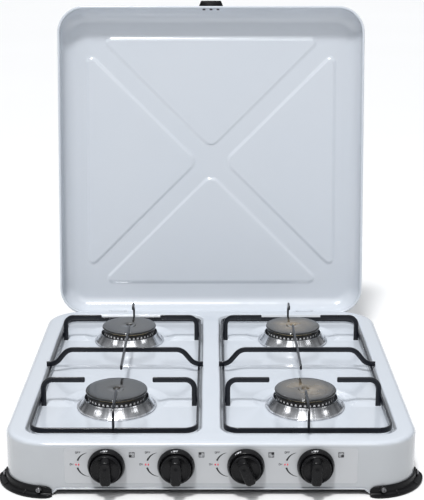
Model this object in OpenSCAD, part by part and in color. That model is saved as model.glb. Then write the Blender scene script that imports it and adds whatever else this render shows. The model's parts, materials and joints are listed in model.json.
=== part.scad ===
// Table-top camping stove with four gas burners: an enamelled steel body with two wells, a hinged
// lid, two lift-out pan supports, four push-and-turn gas taps and four corner feet.
// X runs to the right, Y to the rear and Z up from the surface that the feet stand on.
// The modules measure Y from the face of the front panel, and stove_frame() moves them to the origin.

/* [Body] */
// Width of the body
body_w = 505; // [435:1:610]
// Depth of the body, from the front panel to the rear wall
body_d = 512; // [440:1:620]
// Height of the rim above the surface
rim_z = 68; // [60:0.5:84]
// Radius of the upright corners
corner_r = 55; // [44:1:66]
// Radius of the top edge
edge_r = 7; // [3:0.5:10]
// Thickness of the enamelled sheet
sheet = 1; // [0.8:0.1:1.4]
// Height of the bottom edge between the feet
skirt_z = 8; // [5:0.5:10]

/* [Wells] */
// Width of the rim beside each well
side_rim = 24; // [20:0.5:32]
// Width of the rim in front of the wells
front_rim = 26; // [18:1:34]
// Width of the rim behind the wells
rear_rim = 20; // [16:1:28]
// Width of the divider between the wells
divider = 23; // [16:1:34]
// Depth of the wells below the rim
well_depth = 12; // [10:0.5:15]
// Corner radius of the wells at the rim
well_r = 24; // [20:1:36]
// Distance that the well's wall leans in from rim to floor
wall_lean = 5; // [3:0.5:6]

/* [Burners] */
// Distance of a burner from the middle of its well, outwards
burner_out = 3; // [0:0.5:6]
// Distance of the front burners from the front edge of the wells
burner_front = 118.5; // [112:0.5:130]
// Distance of the rear burners from the rear edge of the wells
burner_rear = 88.5; // [80:0.5:110]
// Outer radius of a burner cup
cup_r = 36; // [30:0.5:37]
// Radius of a burner cap
cap_r = 40.25; // [38:0.25:41]
// Height of the burner cap's seat above the rim
cap_seat = 8.2; // [6:0.1:10]
// Thickness of a burner cap
cap_t = 4.5; // [3:0.1:6]
// Radius of the trim ring at the well floor
trim_r = 52; // [48:0.5:56]
// Slots round the bottom edge of the flame ring
slot_count = 40; // [28:1:44]

/* [Pan supports] */
// Thickness of the strip
bar_t = 3; // [2.4:0.1:4]
// Width of the strip
bar_h = 7; // [5:0.5:8]
// Height of the pan above the rim
pan_h = 28; // [22:0.5:28]
// Gap between the loop and the side edges of the well
loop_gap = 4; // [4:0.5:8]
// Gap between the loop and the front edge of the well
loop_front_gap = 16; // [10:1:24]
// Gap between the loop and the rear edge of the well
loop_rear_gap = 14; // [10:1:24]
// Distance from the fingers' middle, level with a burner, to their tips
tip_r = 44; // [44:0.5:50]

/* [Lid] */
// Distance from the body's side to the lid's side
lid_side_in = 13; // [10:0.5:16]
// Distance from the front panel to the lid's front
lid_front_in = 32; // [22:1:38]
// Depth of the lid
lid_h = 33; // [32:0.5:40]
// Height of the upright part of the lid's wall
lid_skirt = 8.5; // [8:0.5:9]
// Corner radius of the lid
lid_r = 40; // [34:1:50]
// Angle between the closed lid and the open lid at its stop
lid_open = 99.5; // [92:0.5:104]
// Width of the lid's handle
handle_w = 39; // [30:1:60]
// Distance that the handle stands out from the lid
handle_out = 10; // [7:0.5:14]

/* [Taps] */
// Distance between neighbouring knobs
knob_pitch = 83.5; // [66:0.5:96]
// Drop from the rim to the tap axes
tap_drop = 28; // [27:0.5:32]
// Radius of a knob's skirt
knob_r = 22.5; // [18:0.5:24]
// Distance from the panel to a knob's front
knob_out = 26; // [22:0.5:32]
// Gap behind a knob that is not pushed
knob_gap = 3.5; // [3:0.1:5]
// Radius of a tap's spindle
spindle_r = 4; // [3:0.25:4]
// Travel of a knob when it is pushed
push_travel = 2.5; // [1.5:0.1:2.5]
// Angle that the third knob is turned from its off position
third_turn = 22; // [0:1:90]

/* [Feet] */
// Height of a foot
foot_h = 12.5; // [10:0.5:15]
// Width of a foot's flange from the body
foot_flange = 11; // [8:0.5:14]
// Distance from the corner faces to the ends of a foot
foot_arm = 61; // [57:1:72]
// Thickness of a foot's floor under the body
foot_base = 1.5; // [1:0.1:2.5]

/* [Gas line] */
// Width and height of the manifold bar
manifold_w = 14; // [11:0.5:14]
// Distance of the gas inlet from the middle
inlet_x = 175; // [160:1:180]
// Radius of the hose tail
hose_r = 5; // [4:0.25:6]
// Length of the hose tail
hose_len = 22; // [18:1:30]

/* [Hinges] */
// Distance of each hinge from the middle
hinge_x = 150; // [100:1:165]
// Width of a hinge
hinge_w = 40; // [36:1:60]
// Drop from the rim to the hinge axis
hinge_drop = 8; // [7:0.5:12]
// Distance of the hinge axis behind the rear wall
hinge_out = 4.5; // [4.5:0.1:6]
// Radius of a hinge pin
pin_r = 1.75; // [1.5:0.05:2]

/* [Hidden] */

$fn = 48;
arc_n = 8;                  // steps in each rounded corner of a loft
edge_n = 5;                 // steps over a rounded edge
bend_n = 6;                 // steps in a bend of a strip, pad or pipe
fit = 0.05;                 // radial clearance of a running fit
play = 0.3;                 // clearance between pieces that only lie near each other
clear_hole = 0.1;           // radial clearance of a screw or rivet in its hole
over = 1;                   // how far a cut reaches past a face

white = [0.93, 0.95, 0.97];
panel_grey = [0.82, 0.85, 0.88];
black = [0.06, 0.06, 0.07];
chrome = [0.8, 0.82, 0.85];
steel = [0.66, 0.68, 0.7];
brass = [0.82, 0.66, 0.34];
alloy = [0.72, 0.73, 0.75];

// Wells, burners and pan supports
well_w = (body_w - 2 * side_rim - divider) / 2;
well_d = body_d - front_rim - rear_rim;
well_x = (divider + well_w) / 2;
well_y = front_rim + well_d / 2;
floor_z = rim_z - well_depth;
burner_x = well_x + burner_out;
burner_ys = [front_rim + burner_front, body_d - rear_rim - burner_rear];
// Burners 1 to 4 belong to taps 1 to 4: front left, rear left, rear right and front right
BURNERS = [[-burner_x, burner_ys[0]], [-burner_x, burner_ys[1]],
    [burner_x, burner_ys[1]], [burner_x, burner_ys[0]]];
ring_seat = 1.4;            // top of a burner cup above the rim
cup_wall = 2;
cup_flange_r = 48;
burner_screw_r = 44.5;      // distance of a burner's fixing screws from its axis
floor_hole_r = cup_r + 1;
flame_r = cap_r - 1.75;
flame_bore = cup_r - cup_wall - 3;
slot_w = 2.8;
slot_h = 2.6;
slot_low = 0.6;             // reach of the slots into the ring's spigot
trim_top_r = cap_r + 1.5;
trim_t = 0.8;
loop_w = well_w - 2 * loop_gap;
loop_d = well_d - loop_front_gap - loop_rear_gap;
loop_y = front_rim + loop_front_gap + loop_d / 2;
loop_r = 18;
loop_top = 0.5;             // top of the loop above the rim, so that the crossbar is welded into it
finger_r = 12;
crossbar_r = 14;
crossbar_end = 0.5;         // reach of the crossbar's ends over the rim
crossbar_flat = 12;         // level part of each end inside the rim
crossbar_rise = 17;         // distance over which the crossbar climbs

// Taps and gas line
TAP_X = [-1.5 * knob_pitch, -0.5 * knob_pitch, 0.5 * knob_pitch, 1.5 * knob_pitch];
TAP_TURN = [0, 0, third_turn, 0];
tap_z = rim_z - tap_drop;
block_w = 22;               // width and height of a valve body
block_in = 10;              // valve body's front behind the panel's face
block_out = 36;             // valve body's back behind the panel's face
bonnet_t = 2;
plug_r = 6;
plug_front = block_in + bonnet_t;
plug_back = block_out - bonnet_t;
pocket_end = plug_back - 4;
spindle_end = 20;           // spindle's inner end behind the panel's face
spindle_flat = 0.6 * spindle_r;
spindle_top = 19;           // spindle's outer end in front of the panel's face
nipple_len = 8;
nipple_r = 5;
tube_r = 3;
manifold_z = tap_z - block_w / 2 - manifold_w / 2;
manifold_y = 24;
manifold_end = inlet_x - 25;
pipe_r = 4.5;
pipe_bend = 14;
nut_r = 10;
nut_t = 6;
thread_r = 6.2;
jet_r = 3.8;
jet_len = 8;
mix_r = 11;                 // outer radius of a burner's mixing tube
mix_bore = 9;
mix_len = 46;               // mixing tube's length in front of its cup
cup_floor = tap_z - mix_r - cup_wall;
knob_skirt_t = 3;
drum_out = 18;
grip_w = 13;
panel_hole_r = 7;
decal_t = 0.3;
decal_w = body_w - 153;
decal_low = skirt_z + 7.5;
decal_high = rim_z - edge_r;

// Lid and hinges
lid_w = body_w - 2 * lid_side_in;
lid_rear_out = 4;           // lid's rear face behind the rear wall
lid_d = body_d - lid_front_in + lid_rear_out;
lid_gap = 0.5;              // closed lid's edge above the rim
lid_bend = lid_h - lid_skirt;
lid_y = lid_front_in + lid_d / 2;
pad_rise = 2.2;             // height of the pressed panels inside the lid
pad_r = 10;
pad_gap = 22;               // half the width of the flat cross between the panels
pad_side_border = 42;       // distance from the lid's sides to the panels
pad_end_border = 46.5;      // distance from the lid's front and rear edges to the panels
hinge = [body_d + hinge_out, rim_z - hinge_drop];
knuckle_r = 3.5;
leaf_t = 1.5;
knuckle_half = 8;           // half the width of the lid leaf's knuckle
knuckle_gap = 0.25;
rivet_r = 1.5;
rivet_head_r = 2.4;
rivet_head_t = 1.2;
rivet_z = rim_z + lid_gap + lid_skirt / 2;
handle_t = 7;
handle_rivet_pitch = 11;
screw_r = 1.9;
screw_head_r = 3.4;
screw_head_t = 2.2;
stop_gap = 0.15;            // between the open lid and its stop

// Feet
foot_gap = 0.3;
foot_wall = 2.7;
foot_lip = 3.2;
foot_hook = 5;              // reach of the foot's floor under the body
foot_taper = 12;            // length over which a foot's end rounds off
foot_screw_a = 10;          // angle of a foot's screws from the corner's ends
foot_screw_z = 8;
boss_r = 5;
boss_out = 1.2;
ramp = 9;                   // run of the bottom edge's curve beside a foot

// Middle of the open stove from front to rear, which is where the origin stands
lid_back = hinge[0] + swing([lid_front_in + lid_bend - hinge[0],
    rim_z + lid_gap + lid_skirt - hinge[1]])[0] + lid_bend;
origin_y = (lid_back - knob_out) / 2;

// ---- Functions ----

function unit(v) = v / norm(v);
function left(v) = [-v[1], v[0]];
function reversed(p) = [for (i = [len(p) - 1:-1:0]) p[i]];
// Side to which a path turns at b: 1 is left and -1 is right
function turn(a, b, c) = sign((b - a)[0] * (c - b)[1] - (b - a)[1] * (c - b)[0]);
// A point given from the hinge axis with the lid closed, moved to where it is with the lid open
function swing(p) = [p[0] * cos(lid_open) + p[1] * sin(lid_open),
    -p[0] * sin(lid_open) + p[1] * cos(lid_open)];
// Arc of radius r that rounds the corner at b
function fillet(a, b, c, r) =
    let (u = unit(a - b), v = unit(c - b), half = acos(u * v) / 2,
        m = b + unit(u + v) * r / sin(half), w = b + u * r / tan(half) - m,
        s = turn(a, b, c) * (180 - 2 * half))
    [for (k = [0:bend_n]) let (t = s * k / bend_n)
        m + [w[0] * cos(t) - w[1] * sin(t), w[0] * sin(t) + w[1] * cos(t)]];
// Open path with its corners rounded to radius r, measured on a line that lies d to the right
function rounded(p, r, d = 0) = [for (i = [0:len(p) - 1])
    each (i == 0 || i == len(p) - 1) ? [p[i]]
        : fillet(p[i - 1], p[i], p[i + 1], r - d * turn(p[i - 1], p[i], p[i + 1]))];
// Closed outline with its corners rounded to radius r
function rounded_outline(p, r) = [for (i = [0:len(p) - 1])
    each fillet(p[(i + len(p) - 1) % len(p)], p[i], p[(i + 1) % len(p)], r)];
// Open path moved to its left by d
function shifted(p, d) = [for (i = [0:len(p) - 1])
    let (u = unit(p[min(i + 1, len(p) - 1)] - p[min(i, len(p) - 2)]),
        v = i == 0 ? u : unit(p[i] - p[i - 1]))
    p[i] + d * (left(u) + left(v)) / (1 + u * v)];
// Outline of a strip of width w that is bent along a path
function strip(p, w, r) = concat(rounded(shifted(p, w / 2), r, w / 2),
    reversed(rounded(shifted(p, -w / 2), r, -w / 2)));
// Rounded rectangle of points at height z
function ring(w, d, r, z, c = [0, 0]) = [for (q = [0:3], k = [0:arc_n])
    let (a = 90 * (q + k / arc_n), sx = (q == 0 || q == 3) ? 1 : -1, sy = q < 2 ? 1 : -1)
    [c[0] + sx * (w / 2 - r) + r * cos(a), c[1] + sy * (d / 2 - r) + r * sin(a), z]];
// Rings over a rounded top edge of radius e, from its foot at height z to the flat top
function edge_rings(w, d, r, e, z, c = [0, 0]) = [for (k = [0:edge_n])
    let (a = 90 * k / edge_n, i = e * (1 - cos(a))) ring(w - 2 * i, d - 2 * i, r - i, z + e * sin(a), c)];

// ---- Helpers ----

module stove_frame() {
    translate([0, -origin_y, 0]) children();
}

// Solid through a list of rings with the same number of points
module loft(rings) {
    n = len(rings[0]);
    m = len(rings);
    polyhedron(
        points = [for (r = rings) each r],
        faces = concat([[for (i = [0:n - 1]) i]],
            [for (j = [0:m - 2], i = [0:n - 1]) let (k = (i + 1) % n)
                [j * n + i, (j + 1) * n + i, (j + 1) * n + k, j * n + k]],
            [[for (i = [n - 1:-1:0]) (m - 1) * n + i]]));
}

module rounded_square(w, d, r) {
    square([w - 2 * r, d], center = true);
    square([w, d - 2 * r], center = true);
    for (x = [-1, 1], y = [-1, 1])
        translate([x * (w / 2 - r), y * (d / 2 - r)]) circle(r);
}

// Outline drawn in X and Z, thickened by t along Y about y
module upright_x(t, y) {
    translate([0, y + t / 2, 0]) rotate([90, 0, 0]) linear_extrude(t) children();
}

// Outline drawn in Y and Z, thickened by t along X about x
module upright_y(t, x) {
    translate([x - t / 2, 0, 0]) rotate([90, 0, 90]) linear_extrude(t) children();
}

// Frame of tap i: its Z points out of the panel along the tap's axis, and its Y points up
module at_tap(i) {
    stove_frame() translate([TAP_X[i], 0, tap_z]) rotate([90, 0, 0]) children();
}

// Cylinder along the tap's axis between two depths behind the panel's face
module along(r, near, far) {
    translate([0, 0, -far]) cylinder(r = r, h = far - near);
}

// Shaft with one flat, which carries a turn
module d_shaft(r, flat, near, far) {
    intersection() {
        along(r, near, far);
        translate([-2 * r, -2 * r, -far - over]) cube([4 * r, 2 * r + flat, far - near + 2 * over]);
    }
}

// Round tube along a level path at height z
module pipe(path, r, z, sides = 10) {
    loft([for (i = [0:len(path) - 1])
        let (u = unit(path[min(i + 1, len(path) - 1)] - path[min(i, len(path) - 2)]),
            v = i == 0 ? u : unit(path[i] - path[i - 1]), s = left(u + v) / (1 + u * v))
        [for (k = [0:sides - 1]) let (a = 360 * k / sides)
            [path[i][0] + s[0] * r * cos(a), path[i][1] + s[1] * r * cos(a), z + r * sin(a)]]]);
}

module at_burner(i) {
    stove_frame() translate([BURNERS[i][0], BURNERS[i][1], 0]) children();
}

// The lid's pieces are drawn closed and swung up about the hinge axis
module lid_frame() {
    stove_frame() translate([0, hinge[0], hinge[1]]) rotate([-lid_open, 0, 0])
        translate([0, -hinge[0], -hinge[1]]) children();
}

// Cylinder that runs from y towards the rear
module along_y(r, x, y, z, len) {
    translate([x, y, z]) rotate([-90, 0, 0]) cylinder(r = r, h = len);
}

// The four corners of the body: each child is drawn for the right rear one, about its arc's centre
module at_corner(sx, sy) {
    stove_frame() translate([0, body_d / 2, 0]) mirror([sx < 0 ? 1 : 0, 0, 0])
        mirror([0, sy < 0 ? 1 : 0, 0])
            translate([body_w / 2 - corner_r, body_d / 2 - corner_r, 0]) children();
}

// ---- Body ----

// Block in the shape of a well, grown by a wall, whose sides end at the rim or stand past it
module well_solid(side, grow, past) {
    c = [side * well_x, well_y];
    loft(concat([ring(well_w - 2 * wall_lean + 2 * grow, well_d - 2 * wall_lean + 2 * grow,
            well_r - wall_lean + grow, floor_z - grow, c),
        ring(well_w + 2 * grow, well_d + 2 * grow, well_r + grow, rim_z - 0.01, c)],
        past == 0 ? [] : [ring(well_w + 2 * grow, well_d + 2 * grow, well_r + grow, rim_z + past, c)]));
}

// Cut that lifts the bottom edge between two feet of a wall that is w long
module skirt_cut(w) {
    e = w / 2 - foot_arm + 2;
    low = foot_base - over;
    polygon(concat([[-e, low]],
        [for (k = [0:bend_n]) [-e + ramp * k / bend_n,
            foot_base + (skirt_z - foot_base) * (1 - cos(180 * k / bend_n)) / 2]],
        [for (k = [bend_n:-1:0]) [e - ramp * k / bend_n,
            foot_base + (skirt_z - foot_base) * (1 - cos(180 * k / bend_n)) / 2]],
        [[e, low]]));
}

module top_shell() {
    c = [0, body_d / 2];
    inner_r = corner_r - sheet;
    color(white) difference() {
        stove_frame() difference() {
            union() {
                difference() {
                    loft(concat([ring(body_w, body_d, corner_r, foot_base, c)],
                        edge_rings(body_w, body_d, corner_r, edge_r, rim_z - edge_r, c)));
                    loft(concat([ring(body_w - 2 * sheet, body_d - 2 * sheet, inner_r, foot_base - over, c)],
                        edge_rings(body_w - 2 * sheet, body_d - 2 * sheet, inner_r, edge_r - sheet / 2,
                            rim_z - sheet - edge_r + sheet / 2, c)));
                }
                for (side = [-1, 1]) well_solid(side, sheet, 0);
            }
            for (side = [-1, 1]) well_solid(side, 0, over);
            upright_x(body_d + 2 * over, body_d / 2) skirt_cut(body_w);
            upright_y(body_w + 2 * over, 0) translate([body_d / 2, 0]) skirt_cut(body_d);
            along_y(thread_r + clear_hole, inlet_x, body_d - sheet - over, manifold_z, sheet + 2 * over);
            for (s = [-1, 1], x = [-11, 11])
                along_y(screw_r + clear_hole, s * hinge_x + x, body_d - sheet - over, hinge[1] - 15,
                    sheet + 2 * over);
        }
        for (i = [0:3]) {
            at_tap(i) along(panel_hole_r, -over, sheet + over);
            at_burner(i) translate([0, 0, floor_z - sheet - over])
                cylinder(r = floor_hole_r, h = sheet + 2 * over);
            at_burner(i) for (a = [45, 225]) rotate(a) translate([burner_screw_r, 0, floor_z - sheet - over])
                cylinder(r = screw_r + clear_hole, h = sheet + 2 * over);
        }
        for (sx = [-1, 1], sy = [-1, 1]) at_corner(sx, sy) foot_screw_holes(corner_r - sheet - over, 2);
    }
}

module control_decal() {
    color(panel_grey) difference() {
        stove_frame() upright_x(decal_t, -decal_t / 2) translate([0, (decal_low + decal_high) / 2])
            rounded_square(decal_w, decal_high - decal_low, 4);
        for (i = [0:3]) at_tap(i) along(panel_hole_r, -over, over);
    }
}

// ---- Feet ----

// Outline of a foot across its arm, for a share k of its full height and a share f of its flange
function foot_profile(k, f) =
    let (u = foot_gap + foot_wall, w = (foot_flange - u) * f, h = 5.4 + (foot_h - 5.4) * k)
    [[-foot_hook, 0], [u + w - 1.2 * f, 0], [u + w, 1], [u + w, foot_lip], [u + w - 1.4 * f, foot_lip],
        [u + w - 2.2 * f, foot_lip - 1.2], [u + f, 3.6], [u, 5], [u - 0.3, h], [foot_gap, h],
        [foot_gap, foot_base - 0.01], [-foot_hook, foot_base - 0.01]];

module foot_screw_holes(from, out) {
    for (a = [foot_screw_a, 90 - foot_screw_a])
        rotate([0, 0, a]) translate([from, 0, foot_screw_z]) rotate([0, 90, 0])
            cylinder(r = screw_r + clear_hole, h = corner_r + foot_wall + out - from);
}

module foot(sx, sy) {
    arm = foot_arm - corner_r;
    arc = corner_r * PI / 2;
    half = arm + arc / 2;
    steps = 22;
    color(black) at_corner(sx, sy) difference() {
        union() {
            loft([for (i = [0:steps])
                let (s = half * (1 - cos(180 * i / steps)), a = 90 - 90 * min(max((s - arm) / arc, 0), 1),
                    tail = min(s - arm, 0) < 0 ? [s - arm, 0] : [0, max(s - arm - arc, 0)],
                    e = min(min(s, 2 * half - s) / foot_taper, 1), k = sqrt(1 - (1 - e) * (1 - e)))
                [for (p = foot_profile(k, 0.25 + 0.75 * k))
                    [(corner_r + p[0]) * cos(a) + tail[0], (corner_r + p[0]) * sin(a) - tail[1], p[1]]]]);
            for (a = [foot_screw_a, 90 - foot_screw_a])
                rotate([0, 0, a]) translate([corner_r + foot_gap + 1, 0, foot_screw_z]) rotate([0, 90, 0])
                    cylinder(r = boss_r - 1, h = foot_wall + boss_out - 1);
        }
        foot_screw_holes(corner_r - over, boss_out + over);
    }
}

module panel_screw(under) {
    cylinder(r = screw_r, h = under);
    translate([0, 0, under]) difference() {
        cylinder(r1 = screw_head_r, r2 = screw_head_r - 0.8, h = screw_head_t);
        for (a = [0, 90]) rotate(a) translate([-2, -0.4, screw_head_t - 1.1]) cube([4, 0.8, 2]);
    }
}

module panel_screws() {
    color(steel) {
        for (sx = [-1, 1], sy = [-1, 1]) at_corner(sx, sy) for (a = [foot_screw_a, 90 - foot_screw_a])
            rotate([0, 0, a]) translate([corner_r - 6, 0, foot_screw_z]) rotate([0, 90, 0])
                panel_screw(6 + foot_gap + foot_wall + boss_out);
        stove_frame() for (s = [-1, 1], x = [-11, 11])
            translate([s * hinge_x + x, body_d - 6, hinge[1] - 15]) rotate([-90, 0, 0])
                panel_screw(6 + leaf_t);
    }
}

// ---- Gas line ----

module manifold() {
    color(alloy) stove_frame() difference() {
        translate([-manifold_end, manifold_y - manifold_w / 2, manifold_z - manifold_w / 2])
            cube([2 * manifold_end, manifold_w, manifold_w]);
        translate([-manifold_end + 6, manifold_y, manifold_z]) rotate([0, 90, 0])
            cylinder(r = manifold_w / 2 - 3, h = 2 * manifold_end);
        for (x = TAP_X) translate([x, manifold_y, manifold_z]) cylinder(r = 2, h = manifold_w);
    }
}

module inlet_pipe() {
    color(steel) stove_frame() pipe(rounded([[manifold_end, manifold_y], [inlet_x, manifold_y],
        [inlet_x, body_d - sheet - nut_t]], pipe_bend), pipe_r, manifold_z, 12);
}

module hose_nozzle() {
    inner = body_d - sheet - nut_t;
    color(brass) stove_frame() difference() {
        union() {
            translate([inlet_x, inner, manifold_z]) rotate([-90, 0, 0]) cylinder(r = nut_r, h = nut_t, $fn = 6);
            along_y(thread_r, inlet_x, inner + nut_t / 2, manifold_z, nut_t + sheet);
            translate([inlet_x, body_d, manifold_z]) rotate([-90, 0, 0]) cylinder(r = nut_r, h = nut_t, $fn = 6);
            along_y(hose_r, inlet_x, body_d + nut_t / 2, manifold_z, nut_t / 2 + hose_len);
        }
        along_y(hose_r - 2, inlet_x, inner - over, manifold_z, 4 * nut_t + hose_len + 2 * over);
    }
}

module valve_body(i) {
    color(alloy) at_tap(i) difference() {
        union() {
            translate([-block_w / 2, -block_w / 2, -block_out])
                cube([block_w, block_w, block_out - block_in]);
            along(9, sheet, block_in + 1);
            along(nipple_r, block_out - 1, block_out + nipple_len);
        }
        along(plug_r + fit, plug_front - clear_hole, plug_back + clear_hole);
        along(spindle_r + play, sheet - over, plug_front);
        along(tube_r + clear_hole, plug_back, block_out + nipple_len + over);
        translate([0, 0, -manifold_y]) rotate([90, 0, 0]) cylinder(r = 2, h = block_w / 2 + over);
    }
}

module valve_plug(i) {
    color(brass) at_tap(i) rotate(TAP_TURN[i]) difference() {
        along(plug_r, plug_front, plug_back);
        d_shaft(spindle_r + fit, spindle_flat + fit, plug_front - over, pocket_end);
        along(1.5, pocket_end - over, plug_back + over);
    }
}

module valve_spring(i) {
    turns = 5;
    steps = 12;
    wire = 0.4;
    near = spindle_end + push_travel + play + wire;
    far = pocket_end - wire;
    coil_r = min(spindle_flat, spindle_r) - wire - 0.1;
    color(steel) at_tap(i) loft([for (k = [0:turns * steps])
        let (a = 360 * k / steps, z = -far + (far - near) * k / (turns * steps))
        [for (j = [0:5]) let (b = -60 * j)
            [(coil_r + wire * cos(b)) * cos(a), (coil_r + wire * cos(b)) * sin(a), z + wire * sin(b)]]]);
}

module spindle(i) {
    color(steel) at_tap(i) rotate(TAP_TURN[i]) d_shaft(spindle_r, spindle_flat, -spindle_top, spindle_end);
}

module knob(i) {
    color(black) at_tap(i) rotate(TAP_TURN[i]) difference() {
        union() {
            translate([0, 0, knob_gap]) cylinder(r = knob_r, h = knob_skirt_t);
            translate([0, 0, knob_gap + knob_skirt_t / 2])
                cylinder(r1 = knob_r - 4, r2 = knob_r - 5, h = drum_out - knob_gap - knob_skirt_t / 2);
            translate([0, 0, drum_out - over]) linear_extrude(knob_out - drum_out + over) {
                square([grip_w, 2 * knob_r - 12 - grip_w], center = true);
                for (y = [-1, 1]) translate([0, y * (knob_r - 6 - grip_w / 2)]) circle(grip_w / 2);
            }
        }
        d_shaft(spindle_r + fit, spindle_flat + fit, -spindle_top - play, -knob_gap + over);
    }
}

// Where feed tube i ends, in front of the mouth of its burner's mixing tube
function jet_y(i) = BURNERS[i][1] - cup_r - mix_len - 4;

module feed_tube(i) {
    x = TAP_X[i];
    y = block_out + nipple_len / 4;
    b = BURNERS[i];
    last = jet_y(i);
    near = abs(b[1] - burner_ys[0]) < 1;
    first = near ? last - 12 : last - 50;
    color(steel) stove_frame() pipe(near
        ? [[x, y], [x, block_out + nipple_len], [b[0], last - 2], [b[0], last]]
        : rounded([[x, y], [x, first], [b[0], last - 16], [b[0], last]], 14), tube_r, tap_z, 10);
}

module gas_jets() {
    color(brass) stove_frame() for (i = [0:3])
        translate([BURNERS[i][0], jet_y(i), tap_z]) rotate([-90, 0, 0]) difference() {
            union() {
                cylinder(r = jet_r, h = jet_len / 2, $fn = 6);
                cylinder(r1 = jet_r * 0.7, r2 = 1.4, h = jet_len);
            }
            translate([0, 0, 1]) cylinder(r = 0.5, h = jet_len);
        }
}

// ---- Burners ----

module burner_cup(i) {
    top = rim_z + ring_seat;
    color(alloy) at_burner(i) difference() {
        union() {
            translate([0, 0, cup_floor]) cylinder(r = cup_r, h = top - cup_floor);
            translate([0, 0, floor_z - sheet - 2]) cylinder(r = cup_flange_r, h = 2);
            translate([0, -cup_r - mix_len, tap_z]) rotate([-90, 0, 0]) cylinder(r = mix_r, h = mix_len + cup_r / 2);
        }
        translate([0, 0, cup_floor + cup_wall]) cylinder(r = cup_r - cup_wall, h = top);
        translate([0, -cup_r - mix_len - over, tap_z]) rotate([-90, 0, 0])
            cylinder(r = mix_bore, h = mix_len + cup_r + over);
        for (a = [45, 225]) rotate(a) translate([burner_screw_r, 0, floor_z - sheet - 2 - over])
            cylinder(r = screw_r + clear_hole, h = 2 + 2 * over);
    }
}

module burner_screws() {
    color(steel) for (i = [0:3]) at_burner(i) for (a = [45, 225])
        rotate(a) translate([burner_screw_r, 0, floor_z - 6]) panel_screw(6);
}

module flame_ring(i) {
    base = rim_z + ring_seat;
    top = rim_z + cap_seat;
    color(black) at_burner(i) difference() {
        union() {
            translate([0, 0, base]) cylinder(r = flame_r, h = top - base);
            translate([0, 0, base - 5]) cylinder(r = cup_r - cup_wall - clear_hole, h = 6);
        }
        translate([0, 0, base - 5 - over]) cylinder(r = flame_bore, h = top - base + 6 + 2 * over);
        for (k = [0:slot_count - 1]) rotate(360 * (k + 0.5) / slot_count)
            translate([flame_bore - 1, -slot_w / 2, base - slot_low])
                cube([flame_r - flame_bore + 2, slot_w, slot_low + slot_h]);
    }
}

module trim_ring(i) {
    top = rim_z + ring_seat;
    color(chrome) at_burner(i) translate([0, 0, floor_z]) rotate_extrude()
        polygon([[trim_r - 2.5, 0], [trim_r, 0], [trim_r, trim_t], [trim_r - 1.2, trim_t + 0.6],
            [trim_top_r + trim_t, top - floor_z], [trim_top_r, top - floor_z]]);
}

module burner_cap(i) {
    base = rim_z + cap_seat;
    lip = 1.8;
    color(black) at_burner(i) union() {
        translate([0, 0, base]) cylinder(r = flame_r - 1, h = lip);
        translate([0, 0, base + lip]) cylinder(r1 = cap_r, r2 = cap_r - 1.2, h = cap_t - lip);
        translate([0, 0, base - 3]) difference() {
            cylinder(r = flame_bore - play, h = 3 + over);
            translate([0, 0, -over]) cylinder(r = flame_bore - 3, h = 3 + over);
        }
    }
}

// ---- Pan supports ----

module pan_support(side) {
    low = loop_top - bar_h;
    top = pan_h - bar_h / 2;
    out = loop_w / 2 - bar_t - bar_h / 2 + 0.5;
    end = well_w / 2 + crossbar_end;
    knee = well_w / 2 - crossbar_flat;
    color(black) stove_frame() translate([side * well_x, 0, rim_z]) {
        translate([0, loop_y, low]) linear_extrude(bar_h) difference() {
            rounded_square(loop_w, loop_d, loop_r);
            rounded_square(loop_w - 2 * bar_t, loop_d - 2 * bar_t, loop_r - bar_t);
        }
        for (y = burner_ys, s = [-1, 1]) upright_x(bar_t, y)
            polygon(strip([[s * out, -well_depth], [s * out, top], [s * tip_r, top]],
                bar_h, finger_r));
        upright_x(bar_t, loop_y) polygon(strip([[-end, bar_h / 2], [-knee, bar_h / 2],
            [-knee + crossbar_rise, top], [knee - crossbar_rise, top], [knee, bar_h / 2], [end, bar_h / 2]],
            bar_h, crossbar_r));
        translate([-bar_t / 2, burner_ys[0] + tip_r, pan_h - bar_h])
            cube([bar_t, burner_ys[1] - burner_ys[0] - 2 * tip_r, bar_h]);
        upright_y(bar_t, 0) polygon(strip([[loop_y - loop_d / 2 + bar_h / 2, low],
            [loop_y - loop_d / 2 + bar_h / 2, top], [burner_ys[0] - tip_r, top]], bar_h, finger_r));
        upright_y(bar_t, 0) polygon(strip([[loop_y + loop_d / 2 - bar_h / 2, low],
            [loop_y + loop_d / 2 - bar_h / 2, top], [burner_ys[1] + tip_r, top]], bar_h, finger_r));
    }
}

// ---- Lid ----

// The four pressed panels, which leave a flat cross between them
module lid_panels() {
    hx = lid_w / 2 - pad_side_border;
    hy = lid_d / 2 - pad_end_border;
    translate([0, lid_y]) for (s = [-1, 1]) {
        polygon(rounded_outline([[-(hx - pad_gap) * s, -hy * s], [(hx - pad_gap) * s, -hy * s],
            [0, -pad_gap * s]], pad_r));
        polygon(rounded_outline([[-hx * s, (hy - pad_gap) * s], [-hx * s, -(hy - pad_gap) * s],
            [-pad_gap * s, 0]], pad_r));
    }
}

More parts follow.
